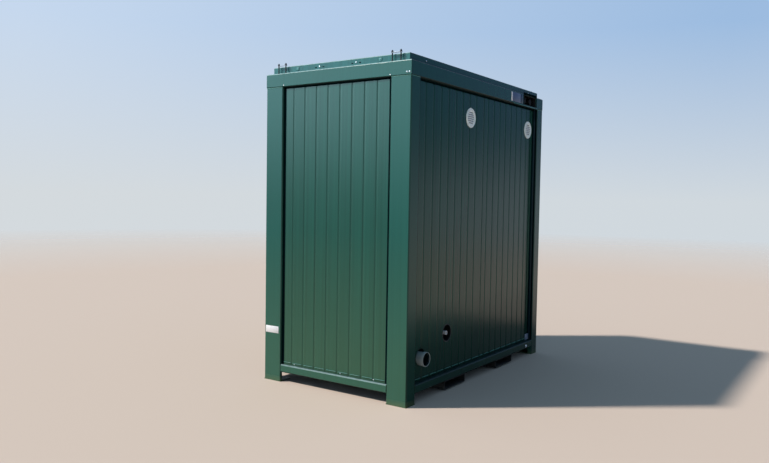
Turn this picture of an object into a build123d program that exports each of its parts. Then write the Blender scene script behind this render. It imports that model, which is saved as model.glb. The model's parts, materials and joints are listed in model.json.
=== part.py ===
from build123d import *
import os

# Portable site cabin with a welded steel frame and profiled cladding.
# Sizes are in millimetres. The cabin stands on z = 0 with its length along X.
# The service side faces -Y, the door side faces +Y, and the origin is the middle of the footprint.

os.makedirs("parts", exist_ok=True)

# Steel frame
frame_length = 2400
frame_width = 1400
frame_sheet = 4
frame_bend = 7
post_face_long = 122
post_face_short = 178
foot_plate = 6
side_reveal = 42
end_reveal = 20
seam_height = 2390
roof_beam_height = 112
roof_beam_flange = 100
rail_underside = 80
rail_height = 64
rail_bottom_flange = 60

# Raised roof rim and roof sheet
rim_inset = 42
rim_height = 58
rim_flange = 40
rim_sheet = 3
rim_bend = 5
roof_sheet_thickness = 2
roof_rib_pitch = 190
roof_rib_height = 26
roof_rib_crest = 60
roof_rib_foot = 90
roof_sheet_clearance = 1

# Walls: one profiled outer sheet, core and lining, taken together
wall_thickness = 60
groove_pitch = 116
groove_mouth = 20
groove_floor = 10
groove_depth = 3
grooves_per_sheet = 9
sheet_joint = 24
joint_width = 8
joint_depth = 10
joint_to_left_groove = 144
joint_to_right_groove = 79
end_groove_count = 8
end_groove_centre = 10

# Floor and ceiling
floor_pan_thickness = 2
floor_board_thickness = 24
floor_clearance = 2
joist_end_setback = 240
joist_count = 5
joist_width = 40
ceiling_thickness = 40
ceiling_bearing = 15
roof_joist_end_setback = 640
roof_joist_count = 3

# Fork pockets
fork_pocket_offset = 460
fork_pocket_width = 330
fork_pocket_height = 66
fork_pocket_wall = 5
fork_pocket_setback = 6

# Doors
left_door_setback = 220
right_door_setback = 225
door_frame_width = 790
door_head_drop = 190
door_frame_face = 40
door_frame_proud = 6
door_wall_clearance = 0.5
door_leaf_thickness = 40
door_leaf_gap = 3
door_stop = 12
hinge_count = 2
hinge_spacing = 1500
hinge_radius = 8
hinge_barrel_sides = 8
hinge_length = 90
hinge_plate = 30
hinge_plate_thickness = 3
handle_rise = 886
lever_rise = 34
handle_setback = 55
handle_plate_width = 38
handle_plate_height = 170
handle_plate_thickness = 5
handle_reach = 38
lever_length = 125
lever_width = 20
lever_thickness = 9

# Extract vents
left_vent_setback = 982
right_vent_setback = 251
vent_drop = 205
vent_flange_radius = 81
vent_mouth_radius = 62
vent_flange_depth = 4
vent_chamfer = 1.5
vent_plate_thickness = 2
vent_slot_count = 6
vent_slot_pitch = 17
vent_slot_height = 9
vent_slot_radius = 53
vent_hole = 110

# Water inlet recess
recess_setback = 652
recess_z = 450
recess_radius = 68
recess_wall = 3
recess_depth = 52
recess_clearance = 0.3
fitting_hex = 32
fitting_hex_depth = 17
fitting_thread_radius = 13.2
fitting_thread_length = 12
fitting_bore_radius = 9
fitting_bore_depth = 22

# Drain stub
drain_setback = 255
drain_z = 314
drain_radius = 51
drain_wall = 3
drain_projection = 56
collar_radius = 55
collar_length = 24
drain_hole_radius = 63
drain_seat = 0.3

# Power inlet recess in the roof beam
power_setback = 167
power_width = 278
power_sill = 18
power_head = 11
power_tray_depth = 76
power_tray_sheet = 2
inlet_spacing = 132
inlet_base = 70
inlet_base_depth = 12
inlet_radius = 29
inlet_length = 34

# Earth bolt on the base rail
earth_setback = 263
earth_rise = 24
earth_washer = 28
earth_washer_depth = 3
earth_hex = 19
earth_hex_depth = 8

# Lifting studs on the roof frame
stud_setback = 25
stud_offsets = (515, 590)
stud_width = 12
stud_height = 83
stud_nut = 18
stud_nut_height = 10
strap_thickness = 3
strap_below_tip = 17
strap_depth = 14
strap_overhang = 9

# Levels and faces that follow from the sizes above
half_length = frame_length / 2
half_width = frame_width / 2
frame_top = seam_height + roof_beam_height
rim_top = frame_top + rim_height
rail_top = rail_underside + rail_height
wall_top = seam_height + frame_sheet
wall_face_x = half_length - end_reveal
wall_face_y = half_width - side_reveal
room_x = wall_face_x - wall_thickness
room_y = wall_face_y - wall_thickness
floor_pan_top = rail_underside + frame_sheet + floor_pan_thickness
joist_top = rail_top - frame_sheet
floor_top = joist_top + floor_board_thickness
ceiling_top = wall_top + ceiling_thickness
joist_setback = frame_bend + floor_clearance
joist_spacing = (frame_length - 2 * joist_end_setback) / (joist_count - 1)
roof_joist_spacing = (frame_length - 2 * roof_joist_end_setback) / (roof_joist_count - 1)
beam_flange_underside = frame_top - frame_sheet
door_head = wall_top - door_head_drop
door_frame_height = door_head - rail_top
door_face = wall_face_y + door_frame_proud
handle_height = floor_top + handle_rise
lever_height = handle_height + lever_rise
stud_top = frame_top + stud_height
power_right = half_length - power_setback
power_left = power_right - power_width
power_low = seam_height + power_sill
power_high = frame_top - power_head
recess_x = -half_length + recess_setback
drain_x = -half_length + drain_setback
drain_hole_z = drain_z + drain_hole_radius - drain_radius - drain_seat
earth_x = half_length - earth_setback
earth_z = rail_underside + earth_rise
vent_z = seam_height - vent_drop
vent_positions = (-half_length + left_vent_setback, half_length - right_vent_setback)
door_centres = {
    "left": -half_length + left_door_setback + door_frame_width / 2,
    "right": half_length - right_door_setback - door_frame_width / 2,
}

ends = {"left": -1, "right": 1}
sides = {"service": -1, "door": 1}


def save(piece, name):
    piece.label = name
    export_step(piece, f"parts/{name}.step")


def folded_sheet(corners, thickness, bend):
    """Section of a folded sheet: its outer face follows the corners and the metal is on their left.

    Each fold is a narrow flat at half the angle that starts one bend before the corner."""
    path = [Vector(*corner) for corner in corners]
    outer = [path[0]]
    for before, corner, after in zip(path, path[1:], path[2:]):
        outer.append(corner + (before - corner).normalized() * bend)
        outer.append(corner + (after - corner).normalized() * bend)
    outer.append(path[-1])
    with BuildLine() as outline:
        Polyline(*outer)
        offset(amount=thickness, side=Side.LEFT, kind=Kind.INTERSECTION)
    make_face(outline.edges())


def place_on_side(x_side, y_side):
    """Carries what was drawn at the left end of the service side to the side that is asked for."""
    if x_side > 0:
        mirror(about=Plane.YZ, mode=Mode.REPLACE)
    if y_side > 0:
        mirror(about=Plane.XZ, mode=Mode.REPLACE)


def mitre(x_side, y_side, normal_x, normal_y):
    """Cuts a member at 45 degrees through a corner of the plan and keeps what the normal points to."""
    corner = (x_side * half_length, y_side * half_width, 0)
    split(bisect_by=Plane(origin=corner, z_dir=(normal_x, normal_y, 0)), keep=Keep.TOP)


def groove_sections(positions, mouth, floor_width, depth):
    """Takes grooves out of a plan section whose outer face is the local X axis."""
    with Locations(*[(x, 0) for x in positions]):
        Polygon(
            (-mouth / 2, 0),
            (mouth / 2, 0),
            (floor_width / 2, -depth),
            (-floor_width / 2, -depth),
            align=None,
            mode=Mode.SUBTRACT,
        )


def upright_plane(x, y, z, facing):
    """Plane on a long side, facing -1 for the service side and 1 for the door side, with Z up."""
    return Plane(origin=(x, y, z), x_dir=(-facing, 0, 0), z_dir=(0, facing, 0))


# Corner posts: a folded sheet that wraps the corner and returns to the walls, on a foot plate
for end, x_side in ends.items():
    for side, y_side in sides.items():
        with BuildPart() as corner_post:
            with BuildSketch(Plane.XY.offset(foot_plate)):
                folded_sheet(
                    [
                        (-half_length + end_reveal, -half_width + post_face_short),
                        (-half_length, -half_width + post_face_short),
                        (-half_length, -half_width),
                        (-half_length + post_face_long, -half_width),
                        (-half_length + post_face_long, -half_width + side_reveal),
                    ],
                    frame_sheet,
                    frame_bend,
                )
            extrude(amount=seam_height - foot_plate)
            with BuildSketch():
                with Locations((-half_length, -half_width)):
                    Rectangle(post_face_long, post_face_short, align=(Align.MIN, Align.MIN))
            extrude(amount=foot_plate)
            place_on_side(x_side, y_side)
        save(corner_post.part, f"corner_post_{side}_{end}")

# Base rails: channels between the posts, whose top flange carries the walls
for side, y_side in sides.items():
    with BuildPart() as base_rail:
        with BuildSketch(Plane.YZ.offset(-half_length + post_face_long)):
            folded_sheet(
                [
                    (-half_width + side_reveal + wall_thickness, rail_top),
                    (-half_width, rail_top),
                    (-half_width, rail_underside),
                    (-half_width + rail_bottom_flange, rail_underside),
                ],
                frame_sheet,
                frame_bend,
            )
        extrude(amount=frame_length - 2 * post_face_long)
        place_on_side(-1, y_side)
    save(base_rail.part, f"base_rail_{side}")

for end, x_side in ends.items():
    with BuildPart() as base_rail:
        with BuildSketch(Plane.ZX.offset(-half_width + post_face_short)):
            folded_sheet(
                [
                    (rail_underside, -half_length + rail_bottom_flange),
                    (rail_underside, -half_length),
                    (rail_top, -half_length),
                    (rail_top, -half_length + end_reveal + wall_thickness),
                ],
                frame_sheet,
                frame_bend,
            )
        extrude(amount=frame_width - 2 * post_face_short)
        place_on_side(x_side, -1)
    save(base_rail.part, f"base_rail_{end}")

# Roof beams: mitred channels on the posts. The service one is cut for the power inlet.
for side, y_side in sides.items():
    with BuildPart() as roof_beam:
        with BuildSketch(Plane.YZ.offset(-half_length)):
            folded_sheet(
                [
                    (-half_width + roof_beam_flange, frame_top),
                    (-half_width, frame_top),
                    (-half_width, seam_height),
                    (-half_width + side_reveal, seam_height),
                ],
                frame_sheet,
                frame_bend,
            )
        extrude(amount=frame_length)
        mitre(-1, -1, 1, -1)
        mitre(1, -1, -1, -1)
        if side == "service":
            with BuildSketch(Plane.XZ.offset(half_width)):
                with Locations((power_left, power_low)):
                    Rectangle(
                        power_right - power_left,
                        power_high - power_low,
                        align=(Align.MIN, Align.MIN),
                    )
            extrude(amount=-frame_sheet, mode=Mode.SUBTRACT)
        place_on_side(-1, y_side)
    save(roof_beam.part, f"roof_beam_{side}")

for end, x_side in ends.items():
    with BuildPart() as roof_beam:
        with BuildSketch(Plane.ZX.offset(-half_width)):
            folded_sheet(
                [
                    (seam_height, -half_length + end_reveal),
                    (seam_height, -half_length),
                    (frame_top, -half_length),
                    (frame_top, -half_length + roof_beam_flange),
                ],
                frame_sheet,
                frame_bend,
            )
        extrude(amount=frame_width)
        mitre(-1, -1, -1, 1)
        mitre(-1, 1, -1, -1)
        place_on_side(x_side, -1)
    save(roof_beam.part, f"roof_beam_{end}")

# Roof rim: mitred angles that stand on the roof beams, set in from every face
for side, y_side in sides.items():
    with BuildPart() as roof_rim:
        with BuildSketch(Plane.YZ.offset(-half_length)):
            folded_sheet(
                [
                    (-half_width + rim_inset + rim_flange, rim_top),
                    (-half_width + rim_inset, rim_top),
                    (-half_width + rim_inset, frame_top),
                ],
                rim_sheet,
                rim_bend,
            )
        extrude(amount=frame_length)
        mitre(-1, -1, 1, -1)
        mitre(1, -1, -1, -1)
        place_on_side(-1, y_side)
    save(roof_rim.part, f"roof_rim_{side}")

for end, x_side in ends.items():
    with BuildPart() as roof_rim:
        with BuildSketch(Plane.ZX.offset(-half_width)):
            folded_sheet(
                [
                    (frame_top, -half_length + rim_inset),
                    (rim_top, -half_length + rim_inset),
                    (rim_top, -half_length + rim_inset + rim_flange),
                ],
                rim_sheet,
                rim_bend,
            )
        extrude(amount=frame_width)
        mitre(-1, -1, -1, 1)
        mitre(-1, 1, -1, -1)
        place_on_side(x_side, -1)
    save(roof_rim.part, f"roof_rim_{end}")

# Roof sheet: trapezoidal sheet with its ribs across the cabin, inside the rim
roof_half_x = half_length - rim_inset - rim_sheet - roof_sheet_clearance
roof_half_y = half_width - rim_inset - rim_sheet - roof_sheet_clearance
roof_rib_count = int((2 * roof_half_x - roof_rib_foot) // roof_rib_pitch) + 1
roof_outline = [(-roof_half_x, frame_top)]
for rib in range(roof_rib_count):
    rib_x = (rib - (roof_rib_count - 1) / 2) * roof_rib_pitch
    roof_outline += [
        (rib_x - roof_rib_foot / 2, frame_top),
        (rib_x - roof_rib_crest / 2, frame_top + roof_rib_height),
        (rib_x + roof_rib_crest / 2, frame_top + roof_rib_height),
        (rib_x + roof_rib_foot / 2, frame_top),
    ]
roof_outline.append((roof_half_x, frame_top))
roof_upper_outline = [(x, z + roof_sheet_thickness) for x, z in reversed(roof_outline)]
with BuildPart() as roof_sheet:
    with BuildSketch(Plane.XZ.offset(-roof_half_y)):
        Polygon(*roof_outline, *roof_upper_outline, align=None)
    extrude(amount=2 * roof_half_y)
save(roof_sheet.part, "roof_sheet")

# Roof joists: channels between the long roof beams, under the roof sheet
with BuildPart() as roof_joists:
    for joist in range(roof_joist_count):
        joist_x = (joist - (roof_joist_count - 1) / 2) * roof_joist_spacing - joist_width / 2
        with BuildSketch(Plane.XZ.offset(-half_width + joist_setback)):
            folded_sheet(
                [
                    (joist_x + joist_width, beam_flange_underside),
                    (joist_x, beam_flange_underside),
                    (joist_x, ceiling_top),
                    (joist_x + joist_width, ceiling_top),
                ],
                frame_sheet,
                frame_bend,
            )
        extrude(amount=frame_width - 2 * joist_setback)
save(roof_joists.part, "roof_joists")

# Ceiling: one panel that bears on the tops of the walls
with BuildPart() as ceiling_panel:
    with BuildSketch(Plane.XY.offset(wall_top)):
        Rectangle(2 * (room_x + ceiling_bearing), 2 * (room_y + ceiling_bearing))
    extrude(amount=ceiling_thickness)
save(ceiling_panel.part, "ceiling_panel")

# Floor pan: flat sheet on the bottom flanges of the rails, notched round the posts
pan_half_x = half_length - frame_bend - floor_clearance
pan_half_y = half_width - frame_bend - floor_clearance
with BuildPart() as floor_pan:
    with BuildSketch(Plane.XY.offset(floor_pan_top - floor_pan_thickness)):
        Rectangle(2 * pan_half_x, 2 * pan_half_y)
        with GridLocations(frame_length, frame_width, 2, 2):
            Rectangle(
                2 * (post_face_long + floor_clearance),
                2 * (post_face_short + floor_clearance),
                mode=Mode.SUBTRACT,
            )
    extrude(amount=floor_pan_thickness)
save(floor_pan.part, "floor_pan")

# Floor joists: channels on the pan, under the top flanges of the long rails
with BuildPart() as floor_joists:
    for joist in range(joist_count):
        joist_x = (joist - (joist_count - 1) / 2) * joist_spacing - joist_width / 2
        with BuildSketch(Plane.XZ.offset(-half_width + joist_setback)):
            folded_sheet(
                [
                    (joist_x + joist_width, joist_top),
                    (joist_x, joist_top),
                    (joist_x, floor_pan_top),
                    (joist_x + joist_width, floor_pan_top),
                ],
                frame_sheet,
                frame_bend,
            )
        extrude(amount=frame_width - 2 * joist_setback)
save(floor_joists.part, "floor_joists")

# Floor deck: board on the joists, inside the walls
with BuildPart() as floor_deck:
    with BuildSketch(Plane.XY.offset(joist_top)):
        Rectangle(2 * (room_x - floor_clearance), 2 * (room_y - floor_clearance))
    extrude(amount=floor_board_thickness)
save(floor_deck.part, "floor_deck")

# Fork pockets: rectangular tubes across the cabin, welded under the long rails
for end, x_side in ends.items():
    with BuildPart() as fork_pocket:
        with BuildSketch(Plane.XZ.offset(half_width - fork_pocket_setback)):
            with Locations((x_side * fork_pocket_offset, rail_underside - fork_pocket_height / 2)):
                Rectangle(fork_pocket_width, fork_pocket_height)
                Rectangle(
                    fork_pocket_width - 2 * fork_pocket_wall,
                    fork_pocket_height - 2 * fork_pocket_wall,
                    mode=Mode.SUBTRACT,
                )
        extrude(amount=-(frame_width - 2 * fork_pocket_setback))
    save(fork_pocket.part, f"fork_pocket_{end}")

# Grooves of the long walls: two cladding sheets that meet at a joint
long_grooves = []
for groove in range(grooves_per_sheet):
    long_grooves.append(sheet_joint - joint_to_left_groove - groove * groove_pitch)
    long_grooves.append(sheet_joint + joint_to_right_groove + groove * groove_pitch)


def long_wall_section(x_from, x_to, facing):
    """Plan section of a long wall or a piece of one, with its grooves on the outer face."""
    middle = (x_from + x_to) / 2
    with Locations((middle, -wall_thickness / 2)):
        Rectangle(x_to - x_from, wall_thickness)
    inside = [x for x in long_grooves if x_from + groove_mouth < x < x_to - groove_mouth]
    groove_sections([facing * x for x in inside], groove_mouth, groove_floor, groove_depth)


# Service wall: full length, with holes for the vents, the water recess and the drain
service_plane = Plane(origin=(0, -wall_face_y, rail_top), x_dir=(-1, 0, 0), z_dir=(0, 0, 1))
with BuildPart() as service_wall:
    with BuildSketch(service_plane):
        with Locations((0, -wall_thickness / 2)):
            Rectangle(2 * wall_face_x, wall_thickness)
        groove_sections([-x for x in long_grooves], groove_mouth, groove_floor, groove_depth)
        groove_sections([-sheet_joint], joint_width, joint_width, joint_depth)
    extrude(amount=wall_top - rail_top)
    with BuildSketch(Plane.XZ.offset(wall_face_y)):
        with Locations(*[(x, vent_z) for x in vent_positions]):
            Rectangle(vent_hole, vent_hole)
        with Locations((recess_x, recess_z)):
            Circle(recess_radius + recess_clearance)
        with Locations((drain_x, drain_hole_z)):
            Circle(drain_hole_radius)
    extrude(amount=-wall_thickness, mode=Mode.SUBTRACT)
save(service_wall.part, "service_wall")

# End walls: between the long walls
for end, x_side in ends.items():
    with BuildPart() as end_wall:
        wall_plane = Plane(origin=(-wall_face_x, 0, rail_top), x_dir=(0, 1, 0), z_dir=(0, 0, 1))
        with BuildSketch(wall_plane):
            with Locations((0, -wall_thickness / 2)):
                Rectangle(2 * room_y, wall_thickness)
            first_groove = end_groove_centre - (end_groove_count - 1) / 2 * groove_pitch
            groove_sections(
                [first_groove + groove * groove_pitch for groove in range(end_groove_count)],
                groove_mouth,
                groove_floor,
                groove_depth,
            )
        extrude(amount=wall_top - rail_top)
        place_on_side(x_side, -1)
    save(end_wall.part, f"{end}_wall")

# Door wall: three piers beside the doors and a piece over each door
door_edges = {
    end: (centre - door_frame_width / 2, centre + door_frame_width / 2)
    for end, centre in door_centres.items()
}
piers = {
    "left": (-wall_face_x, door_edges["left"][0]),
    "middle": (door_edges["left"][1], door_edges["right"][0]),
    "right": (door_edges["right"][1], wall_face_x),
}
door_wall_plane = Plane(origin=(0, wall_face_y, rail_top), x_dir=(1, 0, 0), z_dir=(0, 0, 1))
for pier, (x_from, x_to) in piers.items():
    with BuildPart() as door_wall:
        with BuildSketch(door_wall_plane):
            long_wall_section(x_from, x_to, 1)
        extrude(amount=wall_top - rail_top)
    save(door_wall.part, f"door_wall_{pier}")

with BuildPart() as door_wall_over:
    for x_from, x_to in door_edges.values():
        with BuildSketch(door_wall_plane.offset(door_frame_height)):
            long_wall_section(x_from, x_to, 1)
        extrude(amount=wall_top - door_head)
save(door_wall_over.part, "door_wall_over")

# Doors: steel frames with a stop and a threshold, and flat leaves
frame_depth = wall_thickness + door_frame_proud
opening_width = door_frame_width - 2 * door_frame_face
opening_low = floor_top
opening_high = door_head - door_frame_face
opening_height = opening_high - opening_low
opening_middle = (opening_low + opening_high) / 2
leaf_width = opening_width - 2 * door_leaf_gap
leaf_height = opening_height - 2 * door_leaf_gap
for end, door_x in door_centres.items():
    with BuildPart() as door_frame:
        with BuildSketch(upright_plane(door_x, door_face, 0, 1)):
            with Locations((0, (rail_top + door_head) / 2)):
                Rectangle(door_frame_width - 2 * door_wall_clearance, door_frame_height)
            with Locations((0, opening_middle)):
                Rectangle(opening_width, opening_height, mode=Mode.SUBTRACT)
        extrude(amount=-frame_depth)
        with BuildSketch(upright_plane(door_x, door_face - door_leaf_thickness, 0, 1)):
            with Locations((0, opening_middle)):
                Rectangle(opening_width, opening_height)
                Rectangle(
                    opening_width - 2 * door_stop,
                    opening_height - 2 * door_stop,
                    mode=Mode.SUBTRACT,
                )
        extrude(amount=-(frame_depth - door_leaf_thickness))
    save(door_frame.part, f"door_frame_{end}")

    with BuildPart() as door_leaf:
        with BuildSketch(upright_plane(door_x, door_face, 0, 1)):
            with Locations((0, opening_middle)):
                Rectangle(leaf_width, leaf_height)
        extrude(amount=-door_leaf_thickness)
    save(door_leaf.part, f"door_leaf_{end}")

# Door hinges: an eight-sided barrel on a plate, two to a door, across the gap beside the leaf
with BuildPart() as door_hinges:
    for door_x in door_centres.values():
        hinge_x = door_x - leaf_width / 2 - door_leaf_gap / 2
        for hinge in range(hinge_count):
            lift = (hinge - (hinge_count - 1) / 2) * hinge_spacing
            with BuildSketch(Plane.XY.offset(opening_middle + lift - hinge_length / 2)):
                with Locations((hinge_x, door_face + hinge_radius)):
                    RegularPolygon(hinge_radius, hinge_barrel_sides)
                with Locations((hinge_x, door_face)):
                    Rectangle(
                        2 * hinge_plate,
                        hinge_plate_thickness,
                        align=(Align.CENTER, Align.MIN),
                    )
            extrude(amount=hinge_length)
save(door_hinges.part, "door_hinges")

# Door handles: a plate with a lever on each face of both leaves
with BuildPart() as door_handles:
    for door_x in door_centres.values():
        handle_x = door_x + leaf_width / 2 - handle_setback
        for face_y, facing in ((door_face, 1), (door_face - door_leaf_thickness, -1)):
            with BuildSketch(upright_plane(handle_x, face_y, handle_height, facing)):
                Rectangle(handle_plate_width, handle_plate_height)
            extrude(amount=handle_plate_thickness)
            lever_plane = upright_plane(handle_x, face_y, lever_height, facing)
            with BuildSketch(lever_plane):
                Rectangle(lever_width, lever_width)
            extrude(amount=handle_reach)
            with BuildSketch(lever_plane.offset(handle_reach)):
                with Locations((facing * (lever_length - lever_width) / 2, 0)):
                    Rectangle(lever_length, lever_width)
            extrude(amount=lever_thickness)
save(door_handles.part, "door_handles")

# Extract vents: bevelled flange round a slotted plate, over a square hole through the wall
vent_plane = upright_plane(0, -wall_face_y, vent_z, -1)
vent_spots = [(x, 0) for x in vent_positions]
with BuildPart() as extract_vents:
    with BuildSketch(vent_plane):
        with Locations(*vent_spots):
            Circle(vent_flange_radius)
    extrude(amount=vent_flange_depth)
    chamfer(extract_vents.edges().group_by(Axis.Y)[0], vent_chamfer)
    with BuildSketch(vent_plane.offset(vent_plate_thickness)):
        with Locations(*vent_spots):
            Circle(vent_mouth_radius)
    extrude(amount=vent_flange_depth, mode=Mode.SUBTRACT)
    with BuildSketch(vent_plane):
        for slot in range(vent_slot_count):
            slot_rise = (slot - (vent_slot_count - 1) / 2) * vent_slot_pitch
            slot_reach = (vent_slot_radius**2 - slot_rise**2) ** 0.5
            with Locations(*[(x, slot_rise) for x in vent_positions]):
                Rectangle(2 * slot_reach, vent_slot_height)
    extrude(amount=vent_plate_thickness, mode=Mode.SUBTRACT)
save(extract_vents.part, "extract_vents")

# Water recess: round cup let into the wall
recess_plane = upright_plane(recess_x, -wall_face_y, recess_z, -1)
with BuildPart() as water_recess:
    with BuildSketch(recess_plane):
        Circle(recess_radius)
    extrude(amount=-recess_depth)
    with BuildSketch(recess_plane):
        Circle(recess_radius - recess_wall)
    extrude(amount=-(recess_depth - recess_wall), mode=Mode.SUBTRACT)
save(water_recess.part, "water_recess")

# Water fitting: hexagon nipple on the back of the recess, its thread just inside the wall's face
fitting_base = recess_plane.offset(-(recess_depth - recess_wall))
thread_plane = fitting_base.offset(fitting_hex_depth)
with BuildPart() as water_fitting:
    with BuildSketch(fitting_base):
        RegularPolygon(fitting_hex / 2, 6, major_radius=False)
    extrude(amount=fitting_hex_depth)
    with BuildSketch(thread_plane):
        Circle(fitting_thread_radius)
    extrude(amount=fitting_thread_length)
    with BuildSketch(thread_plane.offset(fitting_thread_length)):
        Circle(fitting_bore_radius)
    extrude(amount=-fitting_bore_depth, mode=Mode.SUBTRACT)
save(water_fitting.part, "water_fitting")

# Drain stub: pipe with an end collar, low in an oversize hole
drain_plane = upright_plane(drain_x, -wall_face_y, drain_z, -1)
with BuildPart() as drain_stub:
    with BuildSketch(drain_plane.offset(-wall_thickness)):
        Circle(drain_radius)
    extrude(amount=wall_thickness + drain_projection)
    with BuildSketch(drain_plane.offset(drain_projection - collar_length)):
        Circle(collar_radius)
    extrude(amount=collar_length)
    with BuildSketch(drain_plane.offset(-wall_thickness)):
        Circle(drain_radius - drain_wall)
    extrude(amount=wall_thickness + drain_projection, mode=Mode.SUBTRACT)
save(drain_stub.part, "drain_stub")

# Power recess: folded tray behind the cut in the roof beam
tray_width = power_right - power_left
tray_height = power_high - power_low
tray_middle_x = (power_left + power_right) / 2
tray_middle_z = (power_low + power_high) / 2
tray_plane = upright_plane(tray_middle_x, -half_width + frame_sheet, tray_middle_z, -1)
with BuildPart() as power_recess:
    with BuildSketch(tray_plane):
        Rectangle(tray_width + 2 * power_tray_sheet, tray_height + 2 * power_tray_sheet)
    extrude(amount=-power_tray_depth)
    with BuildSketch(tray_plane):
        Rectangle(tray_width, tray_height)
    extrude(amount=-(power_tray_depth - power_tray_sheet), mode=Mode.SUBTRACT)
save(power_recess.part, "power_recess")

# Power inlets: two round appliance inlets with their lids shut, on the back of the tray
inlet_plane = tray_plane.offset(-(power_tray_depth - power_tray_sheet))
with BuildPart() as power_inlets:
    with BuildSketch(inlet_plane):
        with GridLocations(inlet_spacing, 0, 2, 1):
            Rectangle(inlet_base, inlet_base)
    extrude(amount=inlet_base_depth)
    with BuildSketch(inlet_plane.offset(inlet_base_depth)):
        with GridLocations(inlet_spacing, 0, 2, 1):
            Circle(inlet_radius)
    extrude(amount=inlet_length)
save(power_inlets.part, "power_inlets")

# Earth bolt: square washer and hexagon head on the service base rail
earth_plane = upright_plane(earth_x, -half_width, earth_z, -1)
with BuildPart() as earth_bolt:
    with BuildSketch(earth_plane):
        Rectangle(earth_washer, earth_washer)
    extrude(amount=earth_washer_depth)
    with BuildSketch(earth_plane.offset(earth_washer_depth)):
        RegularPolygon(earth_hex / 2, 6, major_radius=False)
    extrude(amount=earth_hex_depth)
save(earth_bolt.part, "earth_bolt")

# Lifting studs: a pair of hexagon studs at each corner of the roof frame, tied by a flat strap
strap_bottom = stud_top - strap_below_tip - strap_thickness
strap_length = stud_offsets[1] - stud_offsets[0] + 2 * strap_overhang
strap_middle = (stud_offsets[0] + stud_offsets[1]) / 2
stud_x = half_length - stud_setback
stud_spots = [
    (x_side * stud_x, y_side * y)
    for x_side in ends.values()
    for y_side in sides.values()
    for y in stud_offsets
]
with BuildPart() as lifting_studs:
    with BuildSketch(Plane.XY.offset(frame_top)):
        with Locations(*stud_spots):
            RegularPolygon(stud_width / 2, 6, major_radius=False)
    extrude(amount=stud_height)
    with BuildSketch(Plane.XY.offset(strap_bottom)):
        with GridLocations(2 * stud_x, 2 * strap_middle, 2, 2):
            Rectangle(strap_depth, strap_length)
    extrude(amount=strap_thickness)
    with BuildSketch(Plane.XY.offset(strap_bottom + strap_thickness)):
        with Locations(*stud_spots):
            RegularPolygon(stud_nut / 2, 6, major_radius=False)
    extrude(amount=stud_nut_height)
save(lifting_studs.part, "lifting_studs")
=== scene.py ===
# %% [markdown]
# A portable site cabin.
# The cabin's solids come from a CAD model that is packed beside this script. They are the frame of the
# whole scene: nothing here moves them. This lesson gives them their finishes and adds the small pieces
# that a CAD model leaves out, such as bolts, seals, seams and labels. All lengths are in metres, +Z is up,
# the short end of the photograph faces -X and the side with the vents faces -Y.

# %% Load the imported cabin
import json
import math

import bmesh
import bpy
from mathutils import Matrix, Vector


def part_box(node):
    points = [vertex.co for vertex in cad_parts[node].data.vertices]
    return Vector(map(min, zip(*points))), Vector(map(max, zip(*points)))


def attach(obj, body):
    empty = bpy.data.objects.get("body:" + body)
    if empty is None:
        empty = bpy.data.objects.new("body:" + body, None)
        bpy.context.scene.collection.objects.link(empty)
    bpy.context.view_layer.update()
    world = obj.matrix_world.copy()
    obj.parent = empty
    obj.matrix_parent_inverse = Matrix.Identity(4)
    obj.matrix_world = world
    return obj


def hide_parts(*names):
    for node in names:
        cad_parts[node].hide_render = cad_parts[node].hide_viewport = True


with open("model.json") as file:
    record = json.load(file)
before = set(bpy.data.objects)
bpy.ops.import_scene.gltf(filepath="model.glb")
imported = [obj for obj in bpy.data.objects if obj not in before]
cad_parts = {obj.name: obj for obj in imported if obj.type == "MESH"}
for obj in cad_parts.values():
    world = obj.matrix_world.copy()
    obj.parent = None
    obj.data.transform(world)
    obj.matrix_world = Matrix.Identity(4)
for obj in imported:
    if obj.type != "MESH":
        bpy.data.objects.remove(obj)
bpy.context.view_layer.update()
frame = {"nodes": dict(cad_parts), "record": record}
nodes = frame["nodes"]
scene = bpy.context.scene

# %% [markdown]
# The pieces that are added sit on faces of the cabin, so the faces are read from the nodes' boxes and
# not written down a second time. What the boxes can't tell is where the cladding's grooves run. Their
# places are worked out again from the same few sizes as in the CAD model.

# %% Faces that carry the added pieces
MM = 0.001


def mm(*lengths):
    """Lengths that are given in millimetres, in metres."""
    return tuple(length * MM for length in lengths)


def middle_of(node):
    """The middle of a CAD node's box."""
    low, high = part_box(node)
    return (low + high) / 2


post_low, post_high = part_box("corner_post_service_left")
end_face, side_face = post_low.xy
post_inner_x, post_inner_y, seam_level = post_high
end_wall_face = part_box("left_wall")[0].x
side_wall_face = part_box("service_wall")[0].y
frame_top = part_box("roof_beam_left")[1].z
rim_end_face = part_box("roof_rim_left")[0].x
rim_side_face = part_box("roof_rim_service")[0].y
rail_low, rail_top = [corner.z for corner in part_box("base_rail_service")]
door_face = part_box("door_frame_left")[1].y

GROOVE_PITCH = 116 * MM
GROOVE_MOUTH = 20 * MM
END_GROOVES = 8
END_GROOVES_MIDDLE = 10 * MM
SHEET_JOINT = 24 * MM
GROOVES_PER_SHEET = 9
FIRST_BEFORE_JOINT = 144 * MM
FIRST_AFTER_JOINT = 79 * MM
end_grooves = [
    END_GROOVES_MIDDLE + GROOVE_PITCH * (groove - (END_GROOVES - 1) / 2) for groove in range(END_GROOVES)
]
side_grooves = [SHEET_JOINT]
for groove in range(GROOVES_PER_SHEET):
    side_grooves.append(SHEET_JOINT - FIRST_BEFORE_JOINT - GROOVE_PITCH * groove)
    side_grooves.append(SHEET_JOINT + FIRST_AFTER_JOINT + GROOVE_PITCH * groove)
side_grooves.sort()
print("end face", round(end_face, 3), "side face", round(side_face, 3), "seam", round(seam_level, 3))
print(len(end_grooves), "grooves on an end wall,", len(side_grooves), "grooves and joints on the long wall")

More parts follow.
